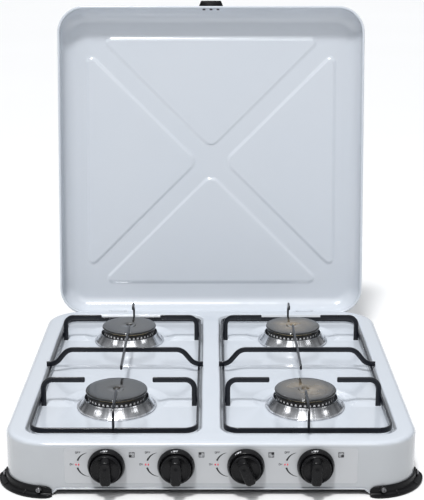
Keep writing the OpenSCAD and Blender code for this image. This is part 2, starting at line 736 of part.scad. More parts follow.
module lid() {
    c = [0, lid_y];
    base = rim_z + lid_gap;
    inner_w = lid_w - 2 * sheet;
    inner_d = lid_d - 2 * sheet;
    outer_edge = edge_rings(lid_w, lid_d, lid_r, lid_bend, base + lid_skirt, c);
    inner_edge = edge_rings(inner_w, inner_d, lid_r - sheet, lid_bend - sheet, base + lid_skirt, c);
    color(white) lid_frame() difference() {
        union() {
            loft(concat(reversed(inner_edge), [ring(inner_w, inner_d, lid_r - sheet, base, c),
                ring(lid_w, lid_d, lid_r, base, c)], outer_edge));
            translate([0, 0, base + lid_h - sheet - pad_rise]) linear_extrude(pad_rise + sheet / 2) lid_panels();
        }
        translate([0, 0, base + lid_h - pad_rise]) linear_extrude(pad_rise + over)
            offset(delta = -sheet) lid_panels();
        for (x = [-handle_rivet_pitch, 0, handle_rivet_pitch])
            along_y(rivet_r + clear_hole, x, lid_front_in - over, rivet_z, sheet + 2 * over);
        for (s = [-1, 1], x = [-12, 12])
            along_y(rivet_r + clear_hole, s * hinge_x + x, body_d + lid_rear_out - sheet - over, rivet_z,
                sheet + 2 * over);
    }
}

module lid_handle() {
    color(black) lid_frame() difference() {
        translate([0, lid_front_in, rivet_z - handle_t / 2]) linear_extrude(handle_t)
            polygon([[-handle_w / 2, 0], [-handle_w / 2 + 5, -handle_out], [handle_w / 2 - 5, -handle_out],
                [handle_w / 2, 0]]);
        for (x = [-handle_rivet_pitch, 0, handle_rivet_pitch])
            along_y(rivet_r + clear_hole, x, lid_front_in - handle_out / 2, rivet_z, handle_out);
    }
}

module lid_rivets() {
    rear = body_d + lid_rear_out;
    color(steel) lid_frame() {
        for (x = [-handle_rivet_pitch, 0, handle_rivet_pitch]) {
            along_y(rivet_r, x, lid_front_in - handle_out / 2 + 0.5, rivet_z, handle_out / 2 + sheet);
            along_y(rivet_head_r, x, lid_front_in + sheet, rivet_z, rivet_head_t);
        }
        for (s = [-1, 1], x = [-12, 12]) {
            along_y(rivet_r, s * hinge_x + x, rear - sheet - leaf_t - 0.5, rivet_z, sheet + leaf_t + 1);
            along_y(rivet_head_r, s * hinge_x + x, rear - sheet - leaf_t - rivet_head_t, rivet_z, rivet_head_t);
            along_y(rivet_head_r, s * hinge_x + x, rear, rivet_z, rivet_head_t);
        }
    }
}

module lid_hinge_leaves() {
    rear = body_d + lid_rear_out - sheet;
    wide_z = hinge[1] + knuckle_r + 1;
    color(steel) lid_frame() for (s = [-1, 1]) translate([s * hinge_x, 0, 0]) difference() {
        union() {
            translate([-knuckle_half, hinge[0], hinge[1]]) rotate([0, 90, 0])
                cylinder(r = knuckle_r, h = 2 * knuckle_half);
            translate([-knuckle_half, rear - leaf_t, hinge[1]])
                cube([2 * knuckle_half, leaf_t, rivet_z + 3.5 - hinge[1]]);
            translate([-hinge_w / 2 + 4, rear - leaf_t, wide_z]) cube([hinge_w - 8, leaf_t, rivet_z + 3.5 - wide_z]);
        }
        translate([-knuckle_half - over, hinge[0], hinge[1]]) rotate([0, 90, 0])
            cylinder(r = pin_r + fit, h = 2 * (knuckle_half + over));
        for (x = [-12, 12]) along_y(rivet_r + clear_hole, x, rear - leaf_t - over, rivet_z, leaf_t + 2 * over);
    }
}

// Each leaf on the body carries two knuckles and the lug that the open lid comes to rest on
module body_hinge_leaves() {
    end = hinge_w / 2;
    from = knuckle_half + knuckle_gap;
    face = body_d + lid_rear_out + stop_gap - hinge[0];
    lug_near = rim_z + lid_gap + 1 - hinge[1];
    lug_far = lug_near + lid_skirt - 2;
    color(steel) stove_frame() for (s = [-1, 1]) translate([s * hinge_x, 0, 0]) difference() {
        union() {
            translate([-end, body_d, hinge[1] - 22]) cube([2 * end, leaf_t, 22 - knuckle_r - 1.5]);
            for (k = [-1, 1]) {
                translate([k * (end + from) / 2 - (end - from) / 2, body_d, hinge[1] - 8])
                    cube([end - from, leaf_t, 9]);
                translate([k * (end + from) / 2 - (end - from) / 2, hinge[0], hinge[1]]) rotate([0, 90, 0])
                    cylinder(r = knuckle_r, h = end - from);
            }
            for (k = [-1, 1]) upright_y(3, k * (end - 1.5)) translate(hinge) polygon([[-hinge_out + 1, -20],
                [-hinge_out + 1, -3], swing([face, lug_near]), swing([face, lug_far]),
                swing([face + 3, lug_far]), [3, -14]]);
        }
        translate([-end - over, hinge[0], hinge[1]]) rotate([0, 90, 0])
            cylinder(r = pin_r + fit, h = 2 * (end + over));
        for (x = [-11, 11]) along_y(screw_r + clear_hole, x, body_d - over, hinge[1] - 15, leaf_t + 2 * over);
    }
}

module hinge_pins() {
    color(steel) stove_frame() for (s = [-1, 1]) translate([s * hinge_x, hinge[0], hinge[1]]) rotate([0, 90, 0]) {
        translate([0, 0, -hinge_w / 2 - 1.5]) cylinder(r = pin_r, h = hinge_w + 3);
        for (k = [-1, 1]) translate([0, 0, k * (hinge_w / 2 + 1) - 0.75]) cylinder(r = pin_r + 1, h = 1.5);
    }
}

top_shell();
control_decal();
manifold();
inlet_pipe();
hose_nozzle();
valve_body(0);  // valve_body_1
valve_body(1);  // valve_body_2
valve_body(2);  // valve_body_3
valve_body(3);  // valve_body_4
valve_plug(0);  // valve_plug_1
valve_plug(1);  // valve_plug_2
valve_plug(2);  // valve_plug_3
valve_plug(3);  // valve_plug_4
valve_spring(0);  // valve_spring_1
valve_spring(1);  // valve_spring_2
valve_spring(2);  // valve_spring_3
valve_spring(3);  // valve_spring_4
spindle(0);  // spindle_1
spindle(1);  // spindle_2
spindle(2);  // spindle_3
spindle(3);  // spindle_4
knob(0);  // knob_1
knob(1);  // knob_2
knob(2);  // knob_3
knob(3);  // knob_4
feed_tube(0);  // feed_tube_1
feed_tube(1);  // feed_tube_2
feed_tube(2);  // feed_tube_3
feed_tube(3);  // feed_tube_4
gas_jets();
burner_cup(0);  // burner_cup_1
burner_cup(1);  // burner_cup_2
burner_cup(2);  // burner_cup_3
burner_cup(3);  // burner_cup_4
burner_screws();
flame_ring(0);  // flame_ring_1
flame_ring(1);  // flame_ring_2
flame_ring(2);  // flame_ring_3
flame_ring(3);  // flame_ring_4
trim_ring(0);  // trim_ring_1
trim_ring(1);  // trim_ring_2
trim_ring(2);  // trim_ring_3
trim_ring(3);  // trim_ring_4
burner_cap(0);  // burner_cap_1
burner_cap(1);  // burner_cap_2
burner_cap(2);  // burner_cap_3
burner_cap(3);  // burner_cap_4
pan_support(-1);  // pan_support_left
pan_support(1);  // pan_support_right
lid();
lid_handle();
lid_rivets();
lid_hinge_leaves();
body_hinge_leaves();
hinge_pins();
foot(-1, -1);  // foot_front_left
foot(1, -1);  // foot_front_right
foot(-1, 1);  // foot_rear_left
foot(1, 1);  // foot_rear_right
panel_screws();
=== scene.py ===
import json

import bmesh
import bpy
import numpy as np
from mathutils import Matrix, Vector


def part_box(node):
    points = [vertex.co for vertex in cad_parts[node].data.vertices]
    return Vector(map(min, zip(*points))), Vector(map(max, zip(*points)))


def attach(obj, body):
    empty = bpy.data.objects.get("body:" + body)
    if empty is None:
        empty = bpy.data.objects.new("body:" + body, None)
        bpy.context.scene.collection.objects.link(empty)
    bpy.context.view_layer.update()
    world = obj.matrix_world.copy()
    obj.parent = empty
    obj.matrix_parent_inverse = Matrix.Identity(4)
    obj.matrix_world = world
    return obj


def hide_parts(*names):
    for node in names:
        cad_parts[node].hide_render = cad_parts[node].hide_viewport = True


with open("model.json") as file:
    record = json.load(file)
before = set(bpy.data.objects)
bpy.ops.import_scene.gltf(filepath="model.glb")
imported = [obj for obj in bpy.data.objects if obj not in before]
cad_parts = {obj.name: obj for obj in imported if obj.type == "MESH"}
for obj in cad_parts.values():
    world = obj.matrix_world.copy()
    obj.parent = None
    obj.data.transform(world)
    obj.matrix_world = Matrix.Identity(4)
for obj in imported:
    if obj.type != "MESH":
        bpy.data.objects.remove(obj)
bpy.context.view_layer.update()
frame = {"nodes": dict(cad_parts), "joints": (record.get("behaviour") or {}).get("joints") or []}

# ---- Top shell ----
# The body is one sheet of steel, pressed into a shallow box with two wells in its top, and then
# dipped in white vitreous enamel. The wells' floors are stepped behind the burners to stiffen them.

MM = 0.001
LEVEL_SLACK = 0.01 * MM
SHARP_ANGLE = 35


def surface(name, grid, around=True, along=False, ends=(False, False)):
    """A mesh from a grid of points, rows by columns by 3: each cell is one quad. around joins the
    last column to the first, along the last row to the first, and ends says which end rows get a
    cap. The UV map runs 0 to 1 round the columns, and in metres of arc down the rows."""
    rows, columns = grid.shape[:2]
    row = np.arange(rows if along else rows - 1)
    column = np.arange(columns if around else columns - 1)
    r, c = np.meshgrid(row, column, indexing="ij")
    near, far = r, (r + 1) % rows
    left, right = c, (c + 1) % columns
    quads = np.stack([near * columns + left, near * columns + right,
                      far * columns + right, far * columns + left], -1).reshape(-1, 4)
    faces = quads.tolist()
    if ends[0]:
        faces.append(list(range(columns))[::-1])
    if ends[1]:
        faces.append(list(range((rows - 1) * columns, rows * columns)))
    mesh = bpy.data.meshes.new(name)
    mesh.from_pydata(grid.reshape(-1, 3).tolist(), [], faces)
    step = np.linalg.norm(np.diff(grid, axis=0), axis=-1).mean(1)
    arc = np.concatenate([[0], np.cumsum(step), [np.sum(step) + 1e-3]])
    u = np.stack([c, c + 1, c + 1, c], -1).reshape(-1) / columns
    v = arc[np.stack([r, r, r + 1, r + 1], -1).reshape(-1)]
    uv = np.zeros((len(mesh.loops), 2))
    uv[:len(u), 0], uv[:len(u), 1] = u, v
    mesh.uv_layers.new(name="uv").data.foreach_set("uv", uv.reshape(-1).astype(np.float32))
    return mesh


def gathered(meshes):
    """An editable mesh that takes in all the given ones and removes them."""
    build = bmesh.new()
    for mesh in meshes:
        build.from_mesh(mesh)
        bpy.data.meshes.remove(mesh)
    return build


def finished(name, build):
    """The mesh that comes of an editable one, which is freed."""
    mesh = bpy.data.meshes.new(name)
    build.to_mesh(mesh)
    build.free()
    return mesh


def joined(name, meshes):
    """One mesh that holds all the given ones."""
    return finished(name, gathered(meshes))


def fill_top(build, height):
    """Fills the level stretch between open edges that lie at a height, and turns all faces out."""
    edges = [e for e in build.edges if e.is_boundary and all(v.co.z > height - LEVEL_SLACK for v in e.verts)]
    bmesh.ops.triangle_fill(build, edges=edges, use_beauty=True, normal=(0, 0, 1))
    bmesh.ops.recalc_face_normals(build, faces=build.faces)


def thicken(thing, thickness, offset, even=False):
    """Gives a sheet its thickness: offset -1 puts it all behind the face, and 0 half on each side."""
    wall = thing.modifiers.new("thickness", "SOLIDIFY")
    wall.thickness, wall.offset, wall.use_even_offset = thickness, offset, even


def smooth(mesh, sharp_above):
    """Smooth shading, with a crease where two faces meet at more than the given degrees."""
    mesh.polygons.foreach_set("use_smooth", np.ones(len(mesh.polygons), bool))
    mesh.set_sharp_from_angle(angle=np.radians(sharp_above))


def piece(name, mesh, body, slot, finish, *nodes, sharp_above=SHARP_ANGLE):
    """A finished mesh as a piece that rides on a body, stands for CAD nodes and has one material."""
    smooth(mesh, sharp_above)
    mesh.materials.clear()
    mesh.materials.append(finish)
    mesh.polygons.foreach_set("material_index", np.zeros(len(mesh.polygons), np.int32))
    thing = bpy.data.objects.new(name, mesh)
    bpy.context.scene.collection.objects.link(thing)
    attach(thing, body)
    if nodes:
        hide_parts(*nodes)
    return thing


def outline(width, depth, radius, centre, side_step, corner_steps, like=None):
    """Points round a rectangle with rounded corners, anticlockwise from the right front corner's
    end: four straights and four quarter circles. like gives the full-size width, depth and radius
    from which the number of points on each side is taken, so that inset outlines match."""
    w0, d0, r0 = like or (width, depth, radius)
    counts = [max(int((d0 - 2 * r0) / side_step), 2), max(int((w0 - 2 * r0) / side_step), 2)]
    hw, hd = width / 2 - radius, depth / 2 - radius
    corners = [(hw, hd), (-hw, hd), (-hw, -hd), (hw, -hd)]
    parts = []
    for i, (cx, cy) in enumerate(corners):
        a = np.radians(90 * (i + np.linspace(0, 1, corner_steps + 1)))
        arc = np.stack([cx + radius * np.cos(a), cy + radius * np.sin(a)], -1)
        nx, ny = corners[(i + 1) % 4]
        b = np.radians(90 * (i + 1))
        end = np.array([nx + radius * np.cos(b), ny + radius * np.sin(b)])
        t = np.linspace(0, 1, counts[(i + 1) % 2] + 1)[1:-1, None]
        parts += [arc, arc[-1] * (1 - t) + end * t]
    return np.concatenate(parts) + np.array(centre)


def arc_profile(centre, radius, start, stop, steps):
    """Points on an arc of a profile, between two angles in degrees."""
    a = np.radians(np.linspace(start, stop, steps + 1))
    return np.stack([centre[0] + radius * np.cos(a), centre[1] + radius * np.sin(a)], -1)


def ease(x):
    """0 below 0, 1 above 1, and a smooth S between them."""
    t = np.clip(x, 0, 1)
    return t * t * (3 - 2 * t)


class Wire:
    """A socket of a material's nodes. Python's operators on it add Math nodes."""

    def __init__(self, tree, socket):
        self.tree, self.socket = tree, socket

    def math(self, operation, *others, first=None):
        node = self.tree.nodes.new("ShaderNodeMath")
        node.operation = operation
        for slot, value in zip(node.inputs, ([self] if first is None else [first, self]) + list(others)):
            plug(self.tree, slot, value)
        return Wire(self.tree, node.outputs[0])

    def __add__(self, other):
        return self.math("ADD", other)

    def __sub__(self, other):
        return self.math("SUBTRACT", other)

    def __rsub__(self, other):
        return self.math("SUBTRACT", first=other)

    def __mul__(self, other):
        return self.math("MULTIPLY", other)

    __radd__ = __add__
    __rmul__ = __mul__


def plug(tree, slot, value):
    """Links a wire to a socket, or sets the socket's value."""
    if isinstance(value, Wire):
        tree.links.new(value.socket, slot)
    else:
        slot.default_value = value


class Finish:
    """A material under construction on one Principled shader."""

    def __init__(self, name, **fixed):
        self.material = bpy.data.materials.new(name)
        self.material.use_nodes = True
        self.tree = self.material.node_tree
        self.shader = self.tree.nodes["Principled BSDF"]
        self.set(**fixed)
        self.place = self.node("ShaderNodeTexCoord", output="Object")

    def node(self, kind, settings=None, inputs=None, output=0):
        made = self.tree.nodes.new(kind)
        for key, value in (settings or {}).items():
            setattr(made, key, value)
        for key, value in (inputs or {}).items():
            plug(self.tree, made.inputs[key], value)
        return Wire(self.tree, made.outputs[output])

    def set(self, **sockets):
        for key, value in sockets.items():
            plug(self.tree, self.shader.inputs[key.replace("_", " ")], value)

    def noise(self, scale, detail=2.0, place=None, **inputs):
        return self.node("ShaderNodeTexNoise", inputs={
            "Vector": place or self.place, "Scale": scale, "Detail": detail, **inputs})

    def spread(self, value, low, high, to_low=0.0, to_high=1.0):
        """value's range from low to high, stretched to another range and held at its ends."""
        return self.node("ShaderNodeMapRange", inputs={
            "Value": value, "From Min": low, "From Max": high, "To Min": to_low, "To Max": to_high})

    def mix(self, share, colour_a, colour_b):
        made = self.tree.nodes.new("ShaderNodeMix")
        made.data_type = "RGBA"
        plug(self.tree, made.inputs[0], share)
        plug(self.tree, made.inputs[6], colour_a)
        plug(self.tree, made.inputs[7], colour_b)
        return Wire(self.tree, made.outputs[2])

    def stretched(self, x, y, z):
        """The piece's own place, scaled apart in X, Y and Z, for grain that runs one way."""
        return self.node("ShaderNodeMapping", inputs={"Vector": self.place, "Scale": (x, y, z)})

    def bump(self, height, depth, onto=None):
        """A Bump node whose full height is depth metres."""
        inputs = {"Height": height, "Distance": depth, "Strength": 1.0}
        if onto:
            inputs["Normal"] = onto
        return self.node("ShaderNodeBump", inputs=inputs)


def vitreous(name, colour, shade, rough, peel=1.0, painted_wall_shade=False):
    """Fired enamel: a glassy coat over a slightly wavy one, with orange peel and faint pinholes.
    Where asked for, it adds a painted shade: upright faces are mixed towards a darker grey than level ones."""
    f = Finish(name, IOR=1.55, Coat_IOR=1.5)
    cloud = f.spread(f.noise(5.0, 3.0), 0.3, 0.7)
    fine = f.noise(45.0, 2.0)
    pores = f.node("ShaderNodeTexVoronoi", inputs={"Vector": f.place, "Scale": 260.0, "Randomness": 1.0})
    speck = f.spread(pores, 0.035, 0.075, 1.0, 0.0) * f.spread(f.noise(60.0, 0.0), 0.62, 0.7)
    body = f.mix(cloud, (*colour, 1), (*shade, 1))
    if painted_wall_shade:
        # Painted shade: the colour turns darker and greyer as the face turns from level to upright
        facing = f.node("ShaderNodeNewGeometry", output="Normal")
        up = f.node("ShaderNodeSeparateXYZ", inputs={0: facing}, output=2)
        grey = sum(shade) / 3
        body = f.mix(f.spread(up, 0.2, 0.8, 1.0, 0.0), body, (grey * 0.67, grey * 0.70, grey * 0.735, 1))
    dark = tuple(0.45 * c for c in shade)
    f.set(Base_Color=f.mix(speck * 0.5, body, (*dark, 1)),
          Roughness=f.spread(fine, 0.3, 0.7, rough, rough + 0.08), Coat_Weight=0.35)
    wave = f.bump(f.noise(14.0, 1.0), 0.00022 * peel)
    f.set(Normal=f.bump(f.noise(420.0, 2.0), 0.000012 * peel, onto=wave))
    return f.material


# The top shell's enamel carries the painted shade on its upright skirt and well walls, the front panel most of
# all
WHITE_ENAMEL = vitreous("white_enamel", (0.565, 0.60, 0.65), (0.55, 0.59, 0.645), 0.14, painted_wall_shade=True)

shell_low, shell_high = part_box("top_shell")
front_y, rear_y = shell_low.y, shell_high.y
rim_z = shell_high.z
BODY_W, BODY_D = shell_high.x - shell_low.x, rear_y - front_y
BODY_CENTRE = (0, (front_y + rear_y) / 2)
CORNER_R = 55 * MM
EDGE_R = 7 * MM
SHELL_SHEET = 0.8 * MM
FOOT_ARM = 61 * MM
HEM_CLEAR = 2 * MM
HEM_LOW, HEM_HIGH = shell_low.z, 8 * MM
HEM_RAMP = 9 * MM
HEM_R = 0.75 * MM
SIDE_RIM, FRONT_RIM, REAR_RIM, DIVIDER = 24 * MM, 26 * MM, 20 * MM, 23 * MM
WELL_W = (BODY_W - 2 * SIDE_RIM - DIVIDER) / 2
WELL_D = BODY_D - FRONT_RIM - REAR_RIM
WELL_X = (DIVIDER + WELL_W) / 2
WELL_Y = front_y + FRONT_RIM + WELL_D / 2
WELL_R, WELL_DEPTH, WALL_LEAN = 24 * MM, 12 * MM, 5 * MM
floor_z = rim_z - WELL_DEPTH
WELL_LIP_R, WELL_ROOT_R = 3.2 * MM, 4.5 * MM
FLOOR_STEP, STEP_RUN, STEP_BEND = 3.0 * MM, 11 * MM, 2.5 * MM
STEP_CLEAR = 59 * MM
STEP_BACK = 3 * MM
MID_STEP, MID_SPREAD = 7 * MM, 1.45

burner_places = []
for i in range(1, 5):
    low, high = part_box(f"burner_cap_{i}")
    burner_places.append(((low.x + high.x) / 2, (low.y + high.y) / 2))
burner_rows = sorted({round(y, 5) for _, y in burner_places})


def hem_height(x, y):
    """The bottom edge's height: level between the feet, with an S down to each corner."""
    def lift(distance, half):
        return ease((half - FOOT_ARM + HEM_CLEAR - np.abs(distance)) / HEM_RAMP)
    share = np.maximum(lift(x, BODY_W / 2), lift(y - BODY_CENTRE[1], BODY_D / 2))
    return HEM_LOW + (HEM_HIGH - HEM_LOW) * share


FLAT_SLACK, FLAT_ANGLE = 1e-6, np.radians(0.1)


def merge_flat(build):
    """Joins the faces of each flat stretch. Only edges whose two ends lie wholly in the flat are
    taken out, so that the strip beside every bend, and its shading, stay as they are."""
    build.normal_update()
    flat = {v for v in build.verts if not v.is_boundary
            and all(f.normal.dot(v.link_faces[0].normal) > 1 - FLAT_SLACK for f in v.link_faces)}
    inner = [e for e in build.edges if e.verts[0] in flat and e.verts[1] in flat]
    bmesh.ops.dissolve_limit(build, angle_limit=FLAT_ANGLE, verts=list(flat), edges=inner)


def ramp(distance):
    """0 before a ramp and 1 after it, straight between, with a short bend at each end: the mean of
    the clamped distance over a window as long as the bend."""
    def total(d):
        return np.where(d < 0, 0, np.where(d < STEP_RUN, d * d / (2 * STEP_RUN), d - STEP_RUN / 2))
    half = STEP_BEND / 2
    return (total(distance + half) - total(distance - half)) / STEP_BEND


def floor_rise(x, y):
    """How far the well's floor stands up: a ramp behind each burner's axis, which bends round the
    trim ring on a circle, and a ramp down between the front and the rear burner."""
    rise = np.zeros_like(x)
    middle = (burner_rows[0] + burner_rows[1]) / 2
    for bx, by in burner_places:
        beyond = y - by + STEP_BACK
        apart = np.hypot(x - bx, y - by) - STEP_CLEAR
        here = ramp(np.minimum(beyond, apart))
        if by < middle:
            here = here * (1 - ramp((y - middle - MID_STEP) / MID_SPREAD))
        rise = np.maximum(rise, here * (x * bx > 0))
    return rise * FLOOR_STEP


def body_ring(inset=0.0):
    """The body's outline, drawn in by inset."""
    return outline(BODY_W - 2 * inset, BODY_D - 2 * inset, CORNER_R - inset, BODY_CENTRE, BODY_STEP,
                   CORNER_STEPS, (BODY_W, BODY_D, CORNER_R))


def rounded_edge(radius, steps):
    """A quarter circle from an upright wall to the level top, as (distance in, height)."""
    return [(radius * (1 - np.cos(a)), radius * np.sin(a)) for a in np.linspace(0, np.pi / 2, steps + 1)[1:]]


# The skirt from the bottom up, as (distance in from the side, height): the rolled hem, the wall and
# the rounded edge. The wall's heights are shares of the way from the hem to the edge.
BODY_STEP, CORNER_STEPS = 6 * MM, 14
HEM_TOP = HEM_R * 4
wall_top = rim_z - EDGE_R
hem = [(-x, z) for x, z in arc_profile((0, HEM_R), HEM_R, 60, -180, 8)] + [(0, HEM_R * 2.2), (0, HEM_TOP)]
rows = []
for inset, height in hem:
    ring = body_ring(inset)
    rows.append(np.column_stack([ring, hem_height(ring[:, 0], ring[:, 1]) + height]))
ring = body_ring()
wall_foot = hem_height(ring[:, 0], ring[:, 1]) + HEM_TOP
for share in np.linspace(0.12, 1, 9):
    rows.append(np.column_stack([ring, wall_foot + (wall_top - wall_foot) * share]))
for inset, height in rounded_edge(EDGE_R, 8):
    ring = body_ring(inset)
    rows.append(np.column_stack([ring, np.full(len(ring), wall_top + height)]))
skirt = surface("skirt", np.array(rows))

# A well's profile from the rim down: lip, leaning wall and root, as (distance in, share of the depth)
lean = np.arctan2(WELL_DEPTH, WALL_LEAN)
lip_t = WELL_LIP_R * np.tan(lean / 2)
root_t = WELL_ROOT_R * np.tan(lean / 2)
lip = [(-lip_t + WELL_LIP_R * np.sin(a), -WELL_LIP_R * (1 - np.cos(a))) for a in np.linspace(0, lean, 7)]
root = [(WALL_LEAN + root_t - WELL_ROOT_R * np.sin(a), -WELL_DEPTH + WELL_ROOT_R * (1 - np.cos(a)))
        for a in np.linspace(lean, 0, 7)]
WELL_STEP, WELL_CORNER_STEPS, FLOOR_RINGS = 1.6 * MM, 9, 56
WELL_MIDDLE, LEAST_R = 0.05 * MM, 0.02 * MM
SEAM = 0.12 * MM
well_full = (WELL_W, WELL_D, WELL_R)
floor_insets = np.linspace(root[-1][0], WELL_W / 2 - WELL_MIDDLE, FLOOR_RINGS)[1:]
wells = []
for side in (-1, 1):
    rows = []
    for inset, drop in lip + root + [(s, -WELL_DEPTH) for s in floor_insets]:
        ring = outline(WELL_W - 2 * inset, WELL_D - 2 * inset, max(WELL_R - inset, LEAST_R),
                       (side * WELL_X, WELL_Y), WELL_STEP, WELL_CORNER_STEPS, well_full)
        share = -drop / WELL_DEPTH
        rise = floor_rise(ring[:, 0], ring[:, 1]) * share
        rows.append(np.column_stack([ring, rim_z + drop + rise]))
    wells.append(surface(f"well_{side}", np.array(rows)))

build = gathered([skirt] + wells)
bmesh.ops.remove_doubles(build, verts=build.verts, dist=SEAM)
fill_top(build, rim_z)
merge_flat(build)
top_shell = piece("top_shell_enamel", finished("top_shell_enamel", build), "chassis", "white_enamel",
                  WHITE_ENAMEL, "top_shell")
thicken(top_shell, SHELL_SHEET, -1, even=True)

# ---- Control film and its printed marks ----
# A thin film, a little greyer than the enamel, is glued along the front panel; its colour is darker
# still, as a painted shade of the front. It is printed with each tap's flame scale and with the place of its
# burner.

film_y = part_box("control_decal")[0].y
knob_low, knob_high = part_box("knob_1")
tap_z = (knob_low.z + knob_high.z) / 2
tap_places = [(joint["pos_m"][0], tap_z) for joint in frame["joints"] if joint["name"].startswith("tap_turn")]
PRINT_T, PRINT_OUT = 0.05 * MM, 0.04 * MM
STROKE = 0.55 * MM
# Strokes of the letters on a grid that is 2 wide and 3 high, with a gap of 0.9 between letters
LETTER_GAP = 0.9
STROKES = {"O": [[(0.3, 0), (0, 0.6), (0, 2.4), (0.3, 3), (1.7, 3), (2, 2.4), (2, 0.6), (1.7, 0), (0.3, 0)]],
           "F": [[(0, 0), (0, 3), (2, 3)], [(0, 1.6), (1.6, 1.6)]],
           "N": [[(0, 0), (0, 3), (2, 0), (2, 3)]]}


def finish_node(node, finish):
    """Gives a node of the frame its material."""
    frame["nodes"][node].material_slots[0].material = finish


def stroke(line, width):
    """A flat ribbon along a line in a plane: each point moves half the width to either side, along
    the normal of the line there."""
    line = np.asarray(line, float)
    run = np.gradient(line, axis=0)
    side = np.stack([-run[:, 1], run[:, 0]], -1) / np.maximum(np.hypot(*run.T), 1e-9)[:, None]
    half = np.broadcast_to(np.asarray(width, float) / 2, len(line))[:, None]
    return np.stack([line + side * half, line - side * half], 1)


def word(letters, centre, height):
    """Ribbons for a short word of stroked letters, centred on a point."""
    unit = height / 3
    left = -(len(letters) * 2 + (len(letters) - 1) * LETTER_GAP) / 2
    ribbons = []
    for n, letter in enumerate(letters):
        for line in STROKES[letter]:
            points = [((left + n * (2 + LETTER_GAP) + x) * unit + centre[0], (y - 1.5) * unit + centre[1])
                      for x, y in line]
            ribbons.append(stroke(points, STROKE))
    return ribbons


def disc(centre, radius, inner, sides=24):
    """A ring, or a filled disc where inner is 0, as a grid of two circles round its centre."""
    a = np.linspace(0, 2 * np.pi, sides + 1)
    circle = np.stack([np.cos(a), np.sin(a)], -1)
    return np.stack([circle * radius, circle * inner], 1) + np.array(centre)


def printed(name, sheets, colour):
    """Flat grids of (x, z) points as one thin print that stands a little out from the film."""
    meshes = []
    for sheet in sheets:
        points = np.dstack([sheet[..., 0], np.full(sheet.shape[:2], film_y - PRINT_OUT), sheet[..., 1]])
        meshes.append(surface(name, points, around=False))
    thicken(piece(name, joined(name, meshes), "chassis", "panel_film", colour), PRINT_T, 0)


def ink(name, colour):
    """A slightly uneven printing ink."""
    f = Finish(name, Roughness=0.4)
    f.set(Base_Color=f.mix(f.noise(900.0, 1.0), (*colour, 1), tuple(1.25 * c + 0.004 for c in colour) + (1,)))
    return f.material


# Each tap's marks, in millimetres from its axis: the two tapering arcs of the flame scale, OFF and ON,
# two flames, and a square with one dot for each burner, where this tap's own burner has a full block.
SCALE_CENTRE, SCALE_R, SCALE_SPANS = np.array([-19.8, 0]), 15.6, ((103, 161), (264, 195))
SCALE_WIDTH = np.linspace(0.45, 2.3, 25)
OFF_PLACE, ON_PLACE, WORD_H = np.array([-34.0, 15.6]), np.array([-42.0, 0.3]), 2.3
FLAME_X, FLAME_APART, FLAME_HALF = -35.0, 1.6, (1.15, 1.35)
ICON_PLACE, ICON, ICON_LINE = np.array([30.4, 12.6]), 6.4, 0.55 * MM
ICON_BLOCK, ICON_DOT, ICON_DOT_HOLE = 1.55, 1.15, 0.7
CELLS = ((-1, -1), (-1, 1), (1, 1), (1, -1))
unit_square = np.array([[[-1, -1], [-1, 1]], [[1, -1], [1, 1]]])
black_prints, red_prints = [], []
for i, tap_place in enumerate(tap_places):
    at = np.array(tap_place)
    for start, stop in SCALE_SPANS:
        a = np.radians(np.linspace(start, stop, len(SCALE_WIDTH)))
        arc = at + SCALE_CENTRE * MM + SCALE_R * MM * np.stack([np.cos(a), np.sin(a)], -1)
        black_prints.append(stroke(arc, SCALE_WIDTH * MM))
    black_prints += word("OFF", at + OFF_PLACE * MM, WORD_H * MM)
    black_prints += word("ON", at + ON_PLACE * MM, WORD_H * MM)
    for dx in (-FLAME_APART, FLAME_APART):
        flame = disc((0, 0), 1.0, 0.0, 20)
        flame[..., 0] *= FLAME_HALF[0] * MM * (1 - 0.5 * (flame[..., 1] + 1) / 2)
        flame[..., 1] *= FLAME_HALF[1] * MM
        red_prints.append(flame + at + np.array([FLAME_X + dx, 0]) * MM)
    icon = at + ICON_PLACE * MM
    corners = np.array([(-1, -1), (1, -1), (1, 1), (-1, 1), (-1, -1)]) * ICON / 2 * MM
    for a, b in zip(corners[:-1], corners[1:]):
        black_prints.append(stroke(icon + np.linspace(a, b, 2), ICON_LINE))
    for n, cell in enumerate(CELLS):
        spot = icon + np.array(cell) * ICON * MM / 4
        if n == i:
            black_prints.append(spot + unit_square * ICON_BLOCK * MM)
        else:
            black_prints.append(disc(spot, ICON_DOT * MM, ICON_DOT_HOLE * MM))
printed("scale_print", black_prints, ink("black_ink", (0.012, 0.012, 0.014)))
printed("flame_print", red_prints, ink("red_ink", (0.62, 0.03, 0.06)))

# Painted shade: the film's grey is darker than its own colour, to look as the front panel does in shade
f = Finish("panel_film", IOR=1.45)
grain = f.noise(1100.0, 2.0)
f.set(Base_Color=f.mix(f.noise(12.0, 3.0), (0.44, 0.452, 0.47, 1), (0.465, 0.477, 0.495, 1)),
      Roughness=f.spread(grain, 0.3, 0.7, 0.38, 0.48), Normal=f.bump(grain, 0.00001))
finish_node("control_decal", f.material)

# ---- Gas line ----
# Inside the body, a square bar carries the gas from the inlet to four brass taps, and a steel tube
# runs from each tap to the jet of its burner. All are left as the foundry and the lathe made them.


def metal(name, colour, shade, rough, grain=(400, 400, 400), spots=0.0, metallic=1.0):
    """Bare or plated metal: fine grain in its gloss, soft stains, and marks of its making. Its
    metallic share, below 1, makes it partly diffuse; the burner core uses that for a painted light."""
    f = Finish(name, Metallic=metallic)
    stain = f.spread(f.noise(35.0, 4.0), 0.4, 0.75)
    fine = f.noise(1.0, 3.0, place=f.stretched(*grain))
    base = f.mix(stain, (*colour, 1), (*shade, 1))
    if spots:
        pits = f.spread(f.noise(600.0, 1.0), 0.66, 0.74) * spots
        base = f.mix(pits, base, (*(0.4 * c for c in shade), 1))
    f.set(Base_Color=base, Roughness=f.spread(fine, 0.3, 0.7, rough, rough + 0.16),
          Normal=f.bump(fine, 0.00003))
    return f.material


